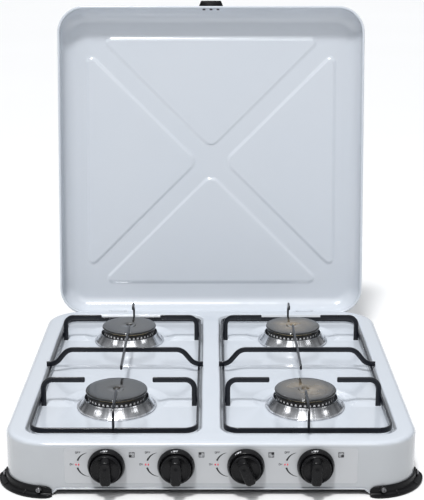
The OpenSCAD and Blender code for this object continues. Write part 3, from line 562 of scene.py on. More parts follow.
ALLOY = metal("alloy", (0.72, 0.73, 0.75), (0.55, 0.56, 0.58), 0.32, spots=0.6)
SCREW_STEEL = metal("screw_steel", (0.26, 0.26, 0.27), (0.18, 0.18, 0.19), 0.35)
STEEL = metal("steel", (0.62, 0.63, 0.65), (0.46, 0.465, 0.48), 0.24, (900, 900, 120))
BRASS = metal("brass", (0.78, 0.60, 0.30), (0.58, 0.42, 0.2), 0.22, (300, 900, 300))
NODE_METALS = {"manifold": ALLOY, "valve_body": ALLOY, "burner_cup": ALLOY, "inlet_pipe": STEEL,
               "valve_spring": STEEL, "spindle": STEEL, "feed_tube": STEEL, "burner_screws": STEEL,
               "lid_hinge": STEEL, "body_hinge": STEEL, "hinge_pins": STEEL, "panel_screws": SCREW_STEEL,
               "hose_nozzle": BRASS, "valve_plug": BRASS, "gas_jets": BRASS}
for node in frame["nodes"]:
    for start, finish in NODE_METALS.items():
        if node.startswith(start):
            finish_node(node, finish)

# ---- Knobs ----
# Moulded black plastic, pushed onto the flat of each tap's spindle: a bell-shaped skirt, a groove
# with a drum inside it, and a grip with a thumb hollow near its top. The skirt is marked in white.


def plastic(name, colour, shade, rough, grain, depth):
    """Moulded plastic: an even fine texture, with softly worn, slightly glossier patches."""
    f = Finish(name, IOR=1.45)
    f.set(Specular_IOR_Level=0.22)
    worn = f.spread(f.noise(40.0, 3.0), 0.35, 0.7)
    fine = f.noise(grain, 2.0)
    f.set(Base_Color=f.mix(worn, (*colour, 1), (*shade, 1)),
          Roughness=f.spread(fine, 0.3, 0.7, rough, rough + 0.12) - worn * 0.06,
          Normal=f.bump(fine, depth))
    return f.material


def lathe(name, profile, centre, axis="z", sides=96, ends=(False, False), turn=0.0):
    """A profile of (radius, height) points turned about an axis through centre: x and y go round as
    radius times cosine and sine. axis y points the height towards the front."""
    profile = np.asarray(profile, float)
    a = np.linspace(0, 2 * np.pi, sides, endpoint=False) + turn
    r, h = profile[:, :1], np.broadcast_to(profile[:, 1:2], (len(profile), sides))
    if axis == "z":
        points = np.dstack([r * np.cos(a), r * np.sin(a), h])
    else:
        points = np.dstack([r * np.cos(a), -h, r * np.sin(a)])
    return surface(name, points + np.array(centre), ends=ends)


KNOB_PLASTIC = plastic("knob_plastic", (0.0035, 0.0035, 0.004), (0.006, 0.006, 0.007), 0.22, 900.0, 0.000008)
# The bell's profile from its bore outwards, over the skirt, into the groove and over the drum, as
# (radius, distance out from the panel)
KNOB_PROFILE = np.array([
    (4.3, 4.2), (4.3, 3.5), (21.8, 3.5), (22.3, 3.7), (22.5, 4.3), (22.5, 6.0), (22.35, 6.7), (21.9, 8.0),
    (21.3, 9.9), (20.75, 11.6), (20.4, 12.3), (19.9, 12.6), (19.45, 12.4), (19.2, 11.9), (19.05, 10.8),
    (18.7, 10.4), (18.4, 10.9), (18.25, 12.5), (17.8, 16.6), (17.55, 17.4), (17.1, 17.85), (16.6, 18.0),
    (16.1, 17.85), (15.7, 17.5), (9.0, 17.35), (0.05, 17.3)]) * MM
GRIP_BASE, GRIP_FRONT, GRIP_ROUND = 16.5 * MM, 26 * MM, 2.2 * MM
GRIP_HALF, GRIP_NARROWS = 6.9 * MM, 0.5 * MM
GRIP_LOW, GRIP_LOW_RISES = -18.0 * MM, 0.8 * MM
GRIP_HIGH, GRIP_HIGH_DROPS, GRIP_DROP_CURVE = 16.8 * MM, 4.6 * MM, 1.3
GRIP_SIDES, LOW_POWER, HIGH_POWER = 56, 2 / 4.6, 2 / 3.2
DIP_DEPTH, DIP_PLACE, DIP_HALF = 1.5 * MM, (0, 7.5 * MM), (3.6 * MM, 3.4 * MM)
MARK_R, MARK_OUT, MARK_T = 21.35 * MM, 9.85 * MM, 0.12 * MM
SKIRT_IN, SKIRT_BACK, MARK_CLEAR = 0.42, 0.92, 0.06 * MM


def grip_ring(level, inset):
    """One ring of the grip: a squared oval whose lower end is squarer than its upper end, and
    whose upper end leans back as the level rises."""
    share = (level - GRIP_BASE) / (GRIP_FRONT - GRIP_BASE)
    low = GRIP_LOW + GRIP_LOW_RISES * share + inset
    high = GRIP_HIGH - GRIP_HIGH_DROPS * share ** GRIP_DROP_CURVE - inset
    a = np.linspace(0, 2 * np.pi, GRIP_SIDES, endpoint=False)
    c, s = np.cos(a), np.sin(a)
    power = np.where(s < 0, LOW_POWER, HIGH_POWER)
    u = (GRIP_HALF - GRIP_NARROWS * share - inset) * np.sign(c) * np.abs(c) ** power
    v = (low + high) / 2 + (high - low) / 2 * np.sign(s) * np.abs(s) ** power
    return np.column_stack([u, v])


def knob_grip(name, x, z, turn):
    """The grip's rings from the drum outwards, over a rounded edge, and inwards over a front that
    is hollowed near its upper end by a rounded dip. Every ring is turned about the knob's axis."""
    rows = [(height, 0.0) for height in np.linspace(GRIP_BASE, GRIP_FRONT - GRIP_ROUND, 6)]
    rows += [(GRIP_FRONT - GRIP_ROUND * (1 - np.sin(a)), GRIP_ROUND * (1 - np.cos(a)))
             for a in np.radians(np.linspace(15, 90, 6))]
    rings, heights = [], []
    for level, inset in rows:
        rings.append(grip_ring(level, inset))
        heights.append(np.full(len(rings[-1]), level))
    edge = rings[-1]
    for share in (0.86, 0.7, 0.54, 0.4, 0.27, 0.15, 0.02):
        rings.append(edge.mean(0) + (edge - edge.mean(0)) * [share, share])
        heights.append(np.full(len(edge), GRIP_FRONT))
    ring, out = np.array(rings), np.array(heights)
    u, v = ring[..., 0], ring[..., 1]
    dip = np.exp(-((u - DIP_PLACE[0]) / DIP_HALF[0]) ** 2 - ((v - DIP_PLACE[1]) / DIP_HALF[1]) ** 2)
    out = out - DIP_DEPTH * dip * (out > GRIP_FRONT - 1 * MM)
    return surface(name, np.dstack([x + u * np.cos(turn) - v * np.sin(turn), front_y - out,
                                    z + u * np.sin(turn) + v * np.cos(turn)]), ends=(False, True))


white_ink = ink("white_ink", (0.72, 0.73, 0.75))
for i, (x, z) in enumerate(tap_places, 1):
    joint = next(j for j in frame["joints"] if j["name"] == f"tap_turn_{i}")
    turn = -np.radians(joint["range_deg"][0])
    bell = lathe("bell", KNOB_PROFILE, (x, front_y, z), axis="y", ends=(True, True))
    knob = joined(f"knob_moulding_{i}", [bell, knob_grip("grip", x, z, turn)])
    piece(f"knob_moulding_{i}", knob, f"push_{i}", "black_plastic", KNOB_PLASTIC, f"knob_{i}", sharp_above=50)
    # The skirt's mark is OFF with a pointer beside it, wrapped round the skirt's slope
    marks = word("OFF", (-0.4 * MM, 0), 2.1 * MM) + [disc((-5.2 * MM, 0), 0.8 * MM, 0.0, 3)]
    meshes = []
    for mark in marks:
        radius = MARK_R + mark[..., 1] * SKIRT_IN
        a = np.pi / 2 + turn - mark[..., 0] / MARK_R
        out = MARK_OUT - mark[..., 1] * SKIRT_BACK
        points = np.dstack([x + radius * np.cos(a), front_y - out - MARK_CLEAR, z + radius * np.sin(a)])
        meshes.append(surface("mark", points, around=False))
    thicken(piece(f"knob_print_{i}", joined(f"knob_print_{i}", meshes), f"push_{i}", "panel_film", white_ink),
            MARK_T, 0)

# ---- Trim rings ----
# A polished, chromed steel cone round each burner hides the hole in the well's floor. It is spun,
# so its foot ends in a small rolled lip, and fine streaks run down its side.

trim_low, trim_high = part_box("trim_ring_1")
TRIM_R = (trim_high.x - trim_low.x) / 2
TRIM_H = trim_high.z - trim_low.z
TRIM_TOP, TRIM_SHEET = 41.8 * MM, 0.5 * MM
TRIM_PROFILE = np.concatenate([
    [(TRIM_R - 2.6 * MM, 0.1 * MM)],
    arc_profile((TRIM_R - 0.75 * MM, 0.75 * MM), 0.75 * MM, -90, 100, 8),
    [(TRIM_R - 1.5 * MM, 1.35 * MM), (TRIM_R - 2.1 * MM, 1.5 * MM), (TRIM_R - 2.7 * MM, 1.9 * MM)],
    [(TRIM_R - 2.7 * MM - (TRIM_R - 2.7 * MM - TRIM_TOP - 0.5 * MM) * s - 0.5 * MM * np.sin(np.pi * s),
      1.9 * MM + (TRIM_H - 2.1 * MM) * s) for s in np.linspace(0.06, 0.97, 12)],
    [(TRIM_TOP + 0.35 * MM, TRIM_H), (TRIM_TOP - 0.1 * MM, TRIM_H), (TRIM_TOP - 0.3 * MM, TRIM_H - 0.5 * MM)]])


def chrome(name, centre, rough=0.13):
    """Polished chrome whose streaks depend only on the direction from the burner's axis."""
    f = Finish(name, Metallic=1.0)
    flat = f.node("ShaderNodeMapping", inputs={"Vector": f.place, "Location": (-centre[0], -centre[1], 0),
                                               "Scale": (1, 1, 0)})
    way = f.node("ShaderNodeVectorMath", settings={"operation": "NORMALIZE"}, inputs={0: flat})
    streaks = f.noise(14.0, 4.0, place=way)
    broad = f.spread(f.noise(3.2, 2.0, place=way), 0.35, 0.65)
    base = f.mix(broad, (0.90, 0.91, 0.94, 1), (0.52, 0.53, 0.55, 1))
    f.set(Base_Color=base, Roughness=f.spread(streaks, 0.35, 0.7, rough, rough + 0.12),
          Normal=f.bump(streaks, 0.00022))
    return f.material


for i, (x, y) in enumerate(burner_places, 1):
    ring = lathe(f"trim_cone_{i}", TRIM_PROFILE, (x, y, trim_low.z), sides=144)
    cone = piece(f"trim_cone_{i}", ring, "chassis", "chrome", chrome(f"chrome_{i}", (x, y)),
                 f"trim_ring_{i}")
    thicken(cone, TRIM_SHEET, -1)

# ---- Flame rings ----
# Each burner's flames come out of the arched ports along the bottom of a black steel ring. A bright
# alloy core stands behind the ports; its near-white, dull colour is a painted light that makes the ports look
# lit.

ring_low, ring_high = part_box("flame_ring_1")
RING_R = (ring_high.x - ring_low.x) / 2
RING_BORE = 31 * MM
RING_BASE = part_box("burner_cup_1")[1].z
RING_EDGE, RING_FILLET, RING_BAND = 0.15 * MM, 0.5 * MM, 3.2 * MM
PORTS, PORT_HALF, PORT_H = 40, 1.85 * MM, 3.2 * MM


def ported_ring(name, centre):
    """A ring whose outer and inner walls stand on a bottom edge that rises in an arch over each
    port: port height times the square root of one minus the squared distance from its middle."""
    pitch = 2 * np.pi / PORTS
    half = PORT_HALF / RING_R
    t = np.concatenate([half * np.sin(np.linspace(-np.pi / 2, np.pi / 2, 9)),
                        np.linspace(half, pitch - half, 4)[1:-1]])
    a = (np.arange(PORTS)[:, None] * pitch + t + pitch / 2).reshape(-1)
    arch = np.where(np.abs(t) < half * 0.9999, np.sqrt(np.maximum(1 - (t / half) ** 2, 0)), 0)
    low = RING_BASE + PORT_H * np.tile(arch, PORTS)
    top = np.full_like(low, ring_high.z)
    rows = [(RING_R - RING_EDGE, low), (RING_R, low + 0.2 * MM), (RING_R, top - RING_BAND),
            (RING_R, top - RING_FILLET), (RING_R - RING_FILLET * 0.3, top - RING_FILLET * 0.3),
            (RING_R - RING_FILLET, top), (RING_BORE, top), (RING_BORE, top - RING_BAND),
            (RING_BORE, low + 0.2 * MM), (RING_BORE, low)]
    grid = np.array([np.column_stack([r * np.cos(a), r * np.sin(a), z]) for r, z in rows])
    return surface(name, grid + [*centre, 0], along=True)


f = Finish("flame_ring_steel", Metallic=0.6)
soot = f.spread(f.noise(90.0, 4.0), 0.35, 0.7)
f.set(Base_Color=f.mix(soot, (0.045, 0.042, 0.04, 1), (0.018, 0.017, 0.017, 1)),
      Roughness=f.spread(soot, 0.0, 1.0, 0.38, 0.62), Normal=f.bump(f.noise(700.0, 3.0), 0.00004))
FLAME_STEEL = f.material
CORE_R, CORE_BORE, CORE_EDGE, CORE_LIFT = RING_R - 0.35 * MM, 31.4 * MM, 0.3 * MM, 0.02 * MM
CORE_PROFILE = [(CORE_BORE, 0), (CORE_R - CORE_EDGE, 0), (CORE_R, CORE_EDGE), (CORE_R, PORT_H - CORE_EDGE),
                (CORE_R - CORE_EDGE, PORT_H), (CORE_BORE, PORT_H)]
# Painted light: the core is near-white and only partly metallic, so that the ports, in the ring's shade, look
# lit
CORE_ALLOY_PAINTED_LIGHT = metal("core_alloy_painted_light", (0.93, 0.93, 0.94), (0.86, 0.86, 0.87), 0.45, metallic=0.35)
for i, (x, y) in enumerate(burner_places, 1):
    piece(f"port_ring_{i}", ported_ring("ring", (x, y)), "chassis", "flame_ring_steel", FLAME_STEEL,
          f"flame_ring_{i}", sharp_above=40)
    core = lathe("core", CORE_PROFILE, (x, y, RING_BASE + CORE_LIFT), ends=(True, True))
    piece(f"burner_core_{i}", core, "chassis", "alloy", CORE_ALLOY_PAINTED_LIGHT)

# ---- Burner caps ----
# A stamped steel cap, enamelled glossy black, lies on each flame ring on a thin brass seat. A small
# ring is pressed into its middle, and heat has tinted the enamel of the two on the right.

CAP_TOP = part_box("burner_cap_1")[1].z
# The cap from under its rim, round the rolled edge, over the top and down into the pressed ring, and
# its seat, as (radius, height)
CAP_PROFILE = np.concatenate([
    [(30.0, -4.2), (36.6, -4.2), (37.8, -4.0), (38.9, -3.4)],
    arc_profile((38.25, -2.2), 2.0, -40, 62, 9),
    [(38.5, -0.42), (37.4, -0.26), (36, -0.14), (34, -0.06), (31, -0.01), (24, 0.0), (14, 0.0), (5.2, 0.0),
     (4.8, -0.2), (4.5, -1.0), (4.2, -1.8), (3.4, -2.0), (2.6, -1.8), (2.3, -1.0), (2.0, -0.5), (1.2, -0.4),
     (0.05, -0.38)]]) * MM
SEAT_PROFILE = np.array([(30.5, 0), (37.9, 0), (38.1, 0.1), (38.1, 0.4), (37.9, 0.5), (30.5, 0.5)]) * MM
SEAT_LIFT = 0.02 * MM
HEAT_RIGHT, HEAT_LEFT = 0.9, 0.08


def cap_enamel(name, centre, heat):
    """Glossy black enamel with soft clouds, fine scratches, and a straw-coloured heat tint."""
    f = Finish(name, IOR=1.6, Coat_IOR=1.5)
    cloud = f.spread(f.noise(38.0, 4.0), 0.35, 0.7)
    scratches = f.spread(f.noise(1.0, 2.0, place=f.stretched(60, 2600, 100)), 0.6, 0.72)
    flat = f.node("ShaderNodeMapping", inputs={
        "Vector": f.place, "Location": (-centre[0], -centre[1], -CAP_TOP)})
    away = f.node("ShaderNodeVectorMath", settings={"operation": "LENGTH"}, inputs={0: flat}, output=1)
    tint = f.spread(away, 0.008, 0.04, 1.0, 0.0) * f.spread(f.noise(30.0, 2.0), 0.3, 0.62) * heat
    base = f.mix(cloud, (0.010, 0.0105, 0.011, 1), (0.017, 0.018, 0.019, 1))
    f.set(Base_Color=f.mix(tint, base, (0.24, 0.19, 0.125, 1)),
          Roughness=f.spread(cloud, 0.0, 1.0, 0.10, 0.16) + scratches * 0.06, Coat_Weight=0.3,
          Normal=f.bump(f.noise(16.0, 1.0), 0.0001))
    return f.material


for i, (x, y) in enumerate(burner_places, 1):
    heat = HEAT_RIGHT if x > 0 else HEAT_LEFT
    cap = lathe("cap", CAP_PROFILE, (x, y, CAP_TOP), sides=120, ends=(True, True))
    piece(f"cap_enamel_{i}", cap, f"cap_{i}", "black_enamel", cap_enamel(f"cap_enamel_{i}", (x, y), heat),
          f"burner_cap_{i}", sharp_above=60)
    seat = lathe("seat", SEAT_PROFILE, (x, y, ring_high.z + SEAT_LIFT), ends=(True, True))
    piece(f"cap_seat_{i}", seat, f"cap_{i}", "brass", BRASS)

# ---- Pan supports ----
# Steel strip on edge, bent, welded and then enamelled black: a loop that lies in the well, four
# fingers that stand on its floor, a crossbar, and a strip down the middle with a finger at each end.

BAR_T, BAR_H = 3 * MM, 7 * MM
PAN_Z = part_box("pan_support_left")[1].z
LOOP_TOP = rim_z + 0.5 * MM
LOOP_W = WELL_W - 8 * MM
LOOP_FRONT, LOOP_REAR = WELL_Y - WELL_D / 2 + 16 * MM, WELL_Y + WELL_D / 2 - 14 * MM
TIP_R = 44 * MM
FINGER_R, CROSS_R = 12 * MM, 17 * MM
TIP_ROUND = 1.8 * MM


def bent(corners, radius, steps=8, spacing=8 * MM):
    """Points along a path in a plane whose corners are rounded: each corner gives way to an arc
    that starts and ends where the circle touches both sides. Long straights are divided."""
    corners = np.asarray(corners, float)
    parts = [corners[:1]]
    for before, at, after in zip(corners[:-2], corners[1:-1], corners[2:]):
        u, v = before - at, after - at
        u, v = u / np.linalg.norm(u), v / np.linalg.norm(v)
        half = np.arccos(np.clip(u @ v, -1, 1)) / 2
        middle = at + (u + v) / np.linalg.norm(u + v) * radius / np.sin(half)
        first = at + u * radius / np.tan(half) - middle
        sweep = (np.pi - 2 * half) * np.sign(u[0] * v[1] - u[1] * v[0]) * -1
        t = np.linspace(0, sweep, steps + 1)
        parts.append(middle + np.stack([first[0] * np.cos(t) - first[1] * np.sin(t),
                                        first[0] * np.sin(t) + first[1] * np.cos(t)], -1))
    parts.append(corners[-1:])
    path = np.concatenate(parts)
    gaps = np.linalg.norm(np.diff(path, axis=0), axis=1)
    pieces = np.maximum((gaps / spacing).astype(int), 1)
    index = np.repeat(np.arange(len(gaps)), pieces)
    share = np.concatenate([np.arange(n) / n for n in pieces])[:, None]
    return np.concatenate([path[index] * (1 - share) + path[index + 1] * share, path[-1:]])


def strip(name, path, lift, wide, thick, closed=False, round_end=(False, False)):
    """A strip with rounded edges along a path in a plane. lift turns the path's points, and its
    wide direction in the plane, into 3-D, and the strip is wide across the path in that plane and
    thick across the plane. A round end has its two corners rounded off."""
    length = np.concatenate([[0], np.cumsum(np.linalg.norm(np.diff(path, axis=0), axis=1))])
    if not closed:
        total = length[-1]
        dense = TIP_ROUND * (1 - np.cos(np.linspace(0, np.pi / 2, 7)))
        extra = ([dense] if round_end[0] else []) + ([total - dense] if round_end[1] else [])
        stations = np.unique(np.round(np.concatenate([length] + extra), 8))
        path = np.stack([np.interp(stations, length, path[:, k]) for k in (0, 1)], -1)
        length = stations
    if closed:
        run = np.roll(path, -1, 0) - np.roll(path, 1, 0)
    else:
        run = np.gradient(path, axis=0)
    run = run / np.linalg.norm(run, axis=1)[:, None]
    across = np.stack([-run[:, 1], run[:, 0]], -1)
    width = np.full(len(path), wide / 2)
    for end, from_end in ((0, length), (1, length[-1] - length)):
        if round_end[end]:
            short = np.clip(1 - from_end / TIP_ROUND, 0, 1)
            width = np.minimum(width, wide / 2 - TIP_ROUND * (1 - np.sqrt(1 - short ** 2)))
    r = min(0.9 * MM, thick * 0.4)
    corner = np.radians(np.linspace(0, 90, 4))
    ring_a, ring_b = [], []
    for sa, sb, start in ((1, 1, 0), (-1, 1, 90), (-1, -1, 180), (1, -1, 270)):
        ring_a.append((sa, r * np.cos(corner + np.radians(start))))
        ring_b.append(sb * (thick / 2 - r) + r * np.sin(corner + np.radians(start)))
    a = np.concatenate([side * np.maximum(width[:, None] - r, 0.02 * MM) + turn for side, turn in ring_a], 1)
    b = np.concatenate([np.broadcast_to(part, (len(path), 4)) for part in ring_b], 1)
    in_plane = path[:, None] + across[:, None] * a[..., None]
    return surface(name, lift(in_plane, b), along=closed, ends=(not closed, not closed))


def upright_x(y):
    """Lifts a path of (x, z) points into the upright plane at y."""
    return lambda p, off: np.dstack([p[..., 0], y + off, p[..., 1]])


def upright_y(x):
    """Lifts a path of (y, z) points into the upright plane at x."""
    return lambda p, off: np.dstack([x + off, p[..., 0], p[..., 1]])


def level(z):
    """Lifts a path of (x, y) points into the level plane at z."""
    return lambda p, off: np.dstack([p[..., 0], p[..., 1], z + off])


BLACK_ENAMEL = vitreous("black_enamel", (0.0045, 0.0055, 0.009), (0.007, 0.0085, 0.0135), 0.26, peel=0.6)
LOOP_R, LEG_IN, CROSS_UP, CROSS_RAMP, WELD_IN = 16.5 * MM, 0.4 * MM, 3.0 * MM, 17 * MM, 0.3 * MM
BLACK_ENAMEL.node_tree.nodes["Principled BSDF"].inputs["Specular IOR Level"].default_value = 0.22
for side, hand in ((-1, "left"), (1, "right")):
    cx = side * WELL_X
    top, low = PAN_Z - BAR_H / 2, LOOP_TOP - BAR_H / 2
    leg = LOOP_W / 2 - BAR_T - BAR_H / 2 + LEG_IN
    end, knee = WELL_W / 2 + 0.5 * MM, WELL_W / 2 - 12 * MM
    inner = outline(LOOP_W - BAR_T, LOOP_REAR - LOOP_FRONT - BAR_T, LOOP_R,
                    (cx, (LOOP_FRONT + LOOP_REAR) / 2), 10 * MM, 12)
    bars = [strip("loop", inner, level(low), BAR_T, BAR_H, closed=True)]
    for y in burner_rows:
        for s in (-1, 1):
            path = bent([(cx + s * leg, floor_z), (cx + s * leg, top), (cx + s * TIP_R, top)], FINGER_R)
            bars.append(strip("finger", path, upright_x(y), BAR_H, BAR_T, round_end=(False, True)))
    rest = low + BAR_H / 2 + CROSS_UP
    cross = bent([(cx - end, rest), (cx - knee, rest), (cx - knee + CROSS_RAMP, top),
                  (cx + knee - CROSS_RAMP, top), (cx + knee, rest), (cx + end, rest)], CROSS_R)
    bars.append(strip("crossbar", cross, upright_x((LOOP_FRONT + LOOP_REAR) / 2), BAR_H, BAR_T))
    middle = np.array([(burner_rows[0] + TIP_R, top), (burner_rows[1] - TIP_R, top)])
    straight = bent(np.insert(middle, 1, middle.mean(0) + [0, 1e-6], 0), 1 * MM)
    bars.append(strip("middle", straight, upright_y(cx), BAR_H, BAR_T, round_end=(True, True)))
    for y0, y1 in ((LOOP_FRONT + BAR_H / 2, burner_rows[0] - TIP_R),
                   (LOOP_REAR - BAR_H / 2, burner_rows[1] + TIP_R)):
        path = bent([(y0, low - BAR_H / 2 + WELD_IN), (y0, top), (y1, top)], FINGER_R)
        bars.append(strip("end_finger", path, upright_y(cx), BAR_H, BAR_T, round_end=(False, True)))
    piece(f"pan_support_bars_{hand}", joined("bars", bars), f"support_{hand}", "black_enamel",
          BLACK_ENAMEL, f"pan_support_{hand}", sharp_above=50)

# ---- Feet ----
# A moulded black corner piece is screwed to each corner of the body: a wall against the sheet, a
# floor under it, and a trough outside with an upturned lip, a few cross ribs and two screw bosses.

FOOT_H, FOOT_FLANGE, FOOT_ROOT = 12.5 * MM, 11 * MM, 5.4 * MM
FOOT_LIP = 3.2
FOOT_GAP, FOOT_WALL, FOOT_HOOK, FOOT_FLOOR = 0.3 * MM, 2.7 * MM, 5 * MM, 1.49 * MM
FOOT_TAPER = 12 * MM
FOOT_ROWS = 72
FOOT_SCREWS, BOSS_R, BOSS_OUT = (10, 80), 5 * MM, 1.2 * MM
FOOT_PLASTIC = plastic("foot_plastic", (0.004, 0.004, 0.0045), (0.007, 0.007, 0.008), 0.33, 700.0, 0.000015)


def foot_section(k, f):
    """The foot across its path, as (distance out from the body, height), for a share k of its full
    height and a share f of its flange."""
    u = FOOT_GAP + FOOT_WALL
    tip = u + (FOOT_FLANGE - u) * f
    h = FOOT_ROOT + (FOOT_H - FOOT_ROOT) * k
    lip = [(0, 1.1), (0, 2.7), (-0.25 * f, FOOT_LIP), (-1.1 * f, FOOT_LIP), (-1.5 * f, 2.8), (-2.2 * f, 2.0),
           (-3.6 * f, 2.1)]
    return np.array([(-FOOT_HOOK, 0), (u, 0), (tip - 1.3 * MM * f, 0), (tip - 0.4 * MM * f, 0.35 * MM)]
                    + [(tip + x * MM, z * MM) for x, z in lip]
                    + [(u + 1.2 * MM * f, 2.9 * MM), (u + 0.35 * MM * f, 4.1 * MM), (u, FOOT_ROOT),
                       (u - 0.2 * MM, h - 0.9 * MM), (u - 0.6 * MM, h - 0.2 * MM), (u - 1.2 * MM, h),
                       (FOOT_GAP + 0.3 * MM, h), (FOOT_GAP, h - 0.4 * MM), (FOOT_GAP, FOOT_FLOOR),
                       (-FOOT_HOOK, FOOT_FLOOR)])


def foot_place(sx, sy, s, out, z):
    """A point of the foot from its way s along the corner, which is an arm, a quarter circle and
    an arm, its distance out and its height."""
    arm = FOOT_ARM - CORNER_R
    arc = CORNER_R * np.pi / 2
    a = np.pi / 2 - np.clip((s - arm) / arc, 0, 1) * np.pi / 2
    back, on = np.minimum(s - arm, 0), np.maximum(s - arm - arc, 0)
    x = BODY_W / 2 - CORNER_R + (CORNER_R + out) * np.cos(a) + back
    y = BODY_D / 2 - CORNER_R + (CORNER_R + out) * np.sin(a) - on
    return np.stack([sx * x, BODY_CENTRE[1] + sy * y, z], -1)


def foot(name, sx, sy):
    """The section carried along the corner, with both ends rounded off in height and width, plus
    ribs across its trough and a boss round each screw."""
    length = 2 * (FOOT_ARM - CORNER_R) + CORNER_R * np.pi / 2
    s = length * (1 - np.cos(np.linspace(0, np.pi, FOOT_ROWS))) / 2
    e = np.minimum(np.minimum(s, length - s) / FOOT_TAPER, 1)
    k = np.sqrt(np.maximum(1 - (1 - e) ** 2, 0.0004))
    sections = np.array([foot_section(share, 0.25 + 0.75 * share) for share in k])
    grid = foot_place(sx, sy, s[:, None] + 0 * sections[..., 0], sections[..., 0], sections[..., 1])
    meshes = [surface("foot", grid, ends=(True, True))]
    for share in (0.33, 0.67):
        rib = np.array([(FOOT_GAP + 2 * MM, 1 * MM), (FOOT_FLANGE - 1 * MM, 1 * MM),
                        (FOOT_FLANGE - 1 * MM, 2.6 * MM), (FOOT_FLANGE - 3 * MM, 2.9 * MM),
                        (FOOT_GAP + 4 * MM, 4.2 * MM), (FOOT_GAP + 2 * MM, 7 * MM)])
        half = np.array([-0.9, -0.6, 0.6, 0.9])[:, None] * MM
        shrink = np.array([0.25, 0, 0, 0.25])[:, None] * MM
        grid = foot_place(sx, sy, length * share + half + 0 * rib[:, 0], rib[:, 0] - shrink,
                          rib[:, 1] - shrink)
        meshes.append(surface("rib", grid, ends=(True, True)))
    for angle in FOOT_SCREWS:
        a = np.radians(angle)
        ring = np.radians(np.linspace(0, 360, 32, endpoint=False))
        face = FOOT_GAP + FOOT_WALL + BOSS_OUT
        rows = [(FOOT_GAP + 1 * MM, BOSS_R), (face - 0.5 * MM, BOSS_R), (face - 0.15 * MM, BOSS_R - 0.15 * MM),
                (face, BOSS_R - 0.5 * MM), (face, 2.2 * MM), (face - 1.5 * MM, 2.1 * MM)]
        out = np.array([row[0] for row in rows])[:, None]
        radius = np.array([row[1] for row in rows])[:, None]
        across, up = radius * np.cos(ring), 8 * MM + radius * np.sin(ring)
        x = BODY_W / 2 - CORNER_R + (CORNER_R + out) * np.cos(a) - across * np.sin(a)
        y = BODY_D / 2 - CORNER_R + (CORNER_R + out) * np.sin(a) + across * np.cos(a)
        boss = np.stack([sx * x, BODY_CENTRE[1] + sy * y, np.maximum(up, 1 * MM)], -1)
        meshes.append(surface("boss", boss, ends=(True, True)))
    build = gathered(meshes)
    bmesh.ops.recalc_face_normals(build, faces=build.faces)
    return finished(name, build)


for sx, across in ((-1, "left"), (1, "right")):
    for sy, along in ((-1, "front"), (1, "rear")):
        piece(f"foot_moulding_{along}_{across}", foot("foot", sx, sy), "chassis", "black_plastic", FOOT_PLASTIC,
              f"foot_{along}_{across}", sharp_above=45)

# ---- Lid ----
# One deep-drawn steel sheet, enamelled white on both sides. Four rounded triangles are pressed into
# it, which leave a stiff cross between them, and its edge is rolled.

hinge = next(j for j in frame["joints"] if j["name"] == "lid_hinge")
hinge_y, hinge_z = hinge["pos_m"][1], hinge["pos_m"][2]
LID_OPEN = np.radians(-hinge["range_deg"][0])
lid_low, lid_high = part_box("lid")
LID_W = lid_high.x - lid_low.x
LID_FRONT, LID_REAR = front_y + 32 * MM, rear_y + 4 * MM
LID_D = LID_REAR - LID_FRONT
LID_CENTRE = (0, (LID_FRONT + LID_REAR) / 2)
LID_BASE, LID_H, LID_R, LID_SKIRT = rim_z + 0.5 * MM, 33 * MM, 40 * MM, 8.5 * MM
LID_BEND = LID_H - LID_SKIRT
PAD_SIDE, PAD_END, PAD_RISE, PAD_SLOPE = 42 * MM, 46.5 * MM, 2.2 * MM, 3.4 * MM
PAD_CROSS, PAD_CORNER_R, PAD_APEX_R = 21.5 * MM, 7 * MM, 15 * MM
GRID_BORDER, GRID_STEP = 38 * MM, 2.1 * MM


def opened(points):
    """Points of the closed lid turned about the hinge's axis to where they are when it is open."""
    y, z = points[..., 1] - hinge_y, points[..., 2] - hinge_z
    c, s = np.cos(LID_OPEN), np.sin(LID_OPEN)
    return np.stack([points[..., 0], hinge_y + y * c + z * s, hinge_z - y * s + z * c], -1)


def swung_open(mesh):
    """Moves a closed lid's mesh to where the open lid is."""
    co = np.empty(len(mesh.vertices) * 3, np.float32)
    mesh.vertices.foreach_get("co", co)
    mesh.vertices.foreach_set("co", opened(co.reshape(-1, 3)).reshape(-1).astype(np.float32))
    return mesh


def triangle_distance(x, y, corners, radii):
    """Distance outside a triangle whose corners are rounded, negative inside: the greatest of the
    distances to its three sides, but within a corner's round, the distance from the round's centre
    less its radius."""
    corners = np.asarray(corners, float)
    point = np.stack([x, y], -1)
    middle = corners.mean(0)
    run = np.roll(corners, -1, 0) - corners
    run /= np.linalg.norm(run, axis=1)[:, None]
    normal = np.stack([run[:, 1], -run[:, 0]], -1)
    normal *= np.sign(((corners - middle) * normal).sum(1))[:, None]
    away = np.max([(point - at) @ out for at, out in zip(corners, normal)], axis=0)
    for k, radius in enumerate(radii):
        before, after = -run[k - 1], run[k]
        half = np.arccos(before @ after) / 2
        toward = (before + after) / np.linalg.norm(before + after)
        centre = corners[k] + toward * radius / np.sin(half)
        near = point - centre
        in_round = (near @ before < 0) & (near @ after < 0)
        away = np.where(in_round, np.linalg.norm(near, axis=-1) - radius, away)
    return away


def panel_depth(x, y):
    """How far the pressed panels stand in from the sheet: an S-shaped slope across each triangle's
    edge."""
    hx, hy = LID_W / 2 - PAD_SIDE, LID_D / 2 - PAD_END
    radii = (PAD_CORNER_R, PAD_CORNER_R, PAD_APEX_R)
    depth = np.zeros_like(x)
    wide, deep = hx - PAD_CROSS, hy - PAD_CROSS
    for s in (-1, 1):
        for corners in ([(-wide * s, -hy * s), (wide * s, -hy * s), (0, -PAD_CROSS * s)],
                        [(-hx * s, deep * s), (-hx * s, -deep * s), (-PAD_CROSS * s, 0)]):
            away = triangle_distance(x, y - LID_CENTRE[1], corners, radii)
            depth = np.maximum(depth, ease(0.5 - away / PAD_SLOPE))
    return depth * PAD_RISE


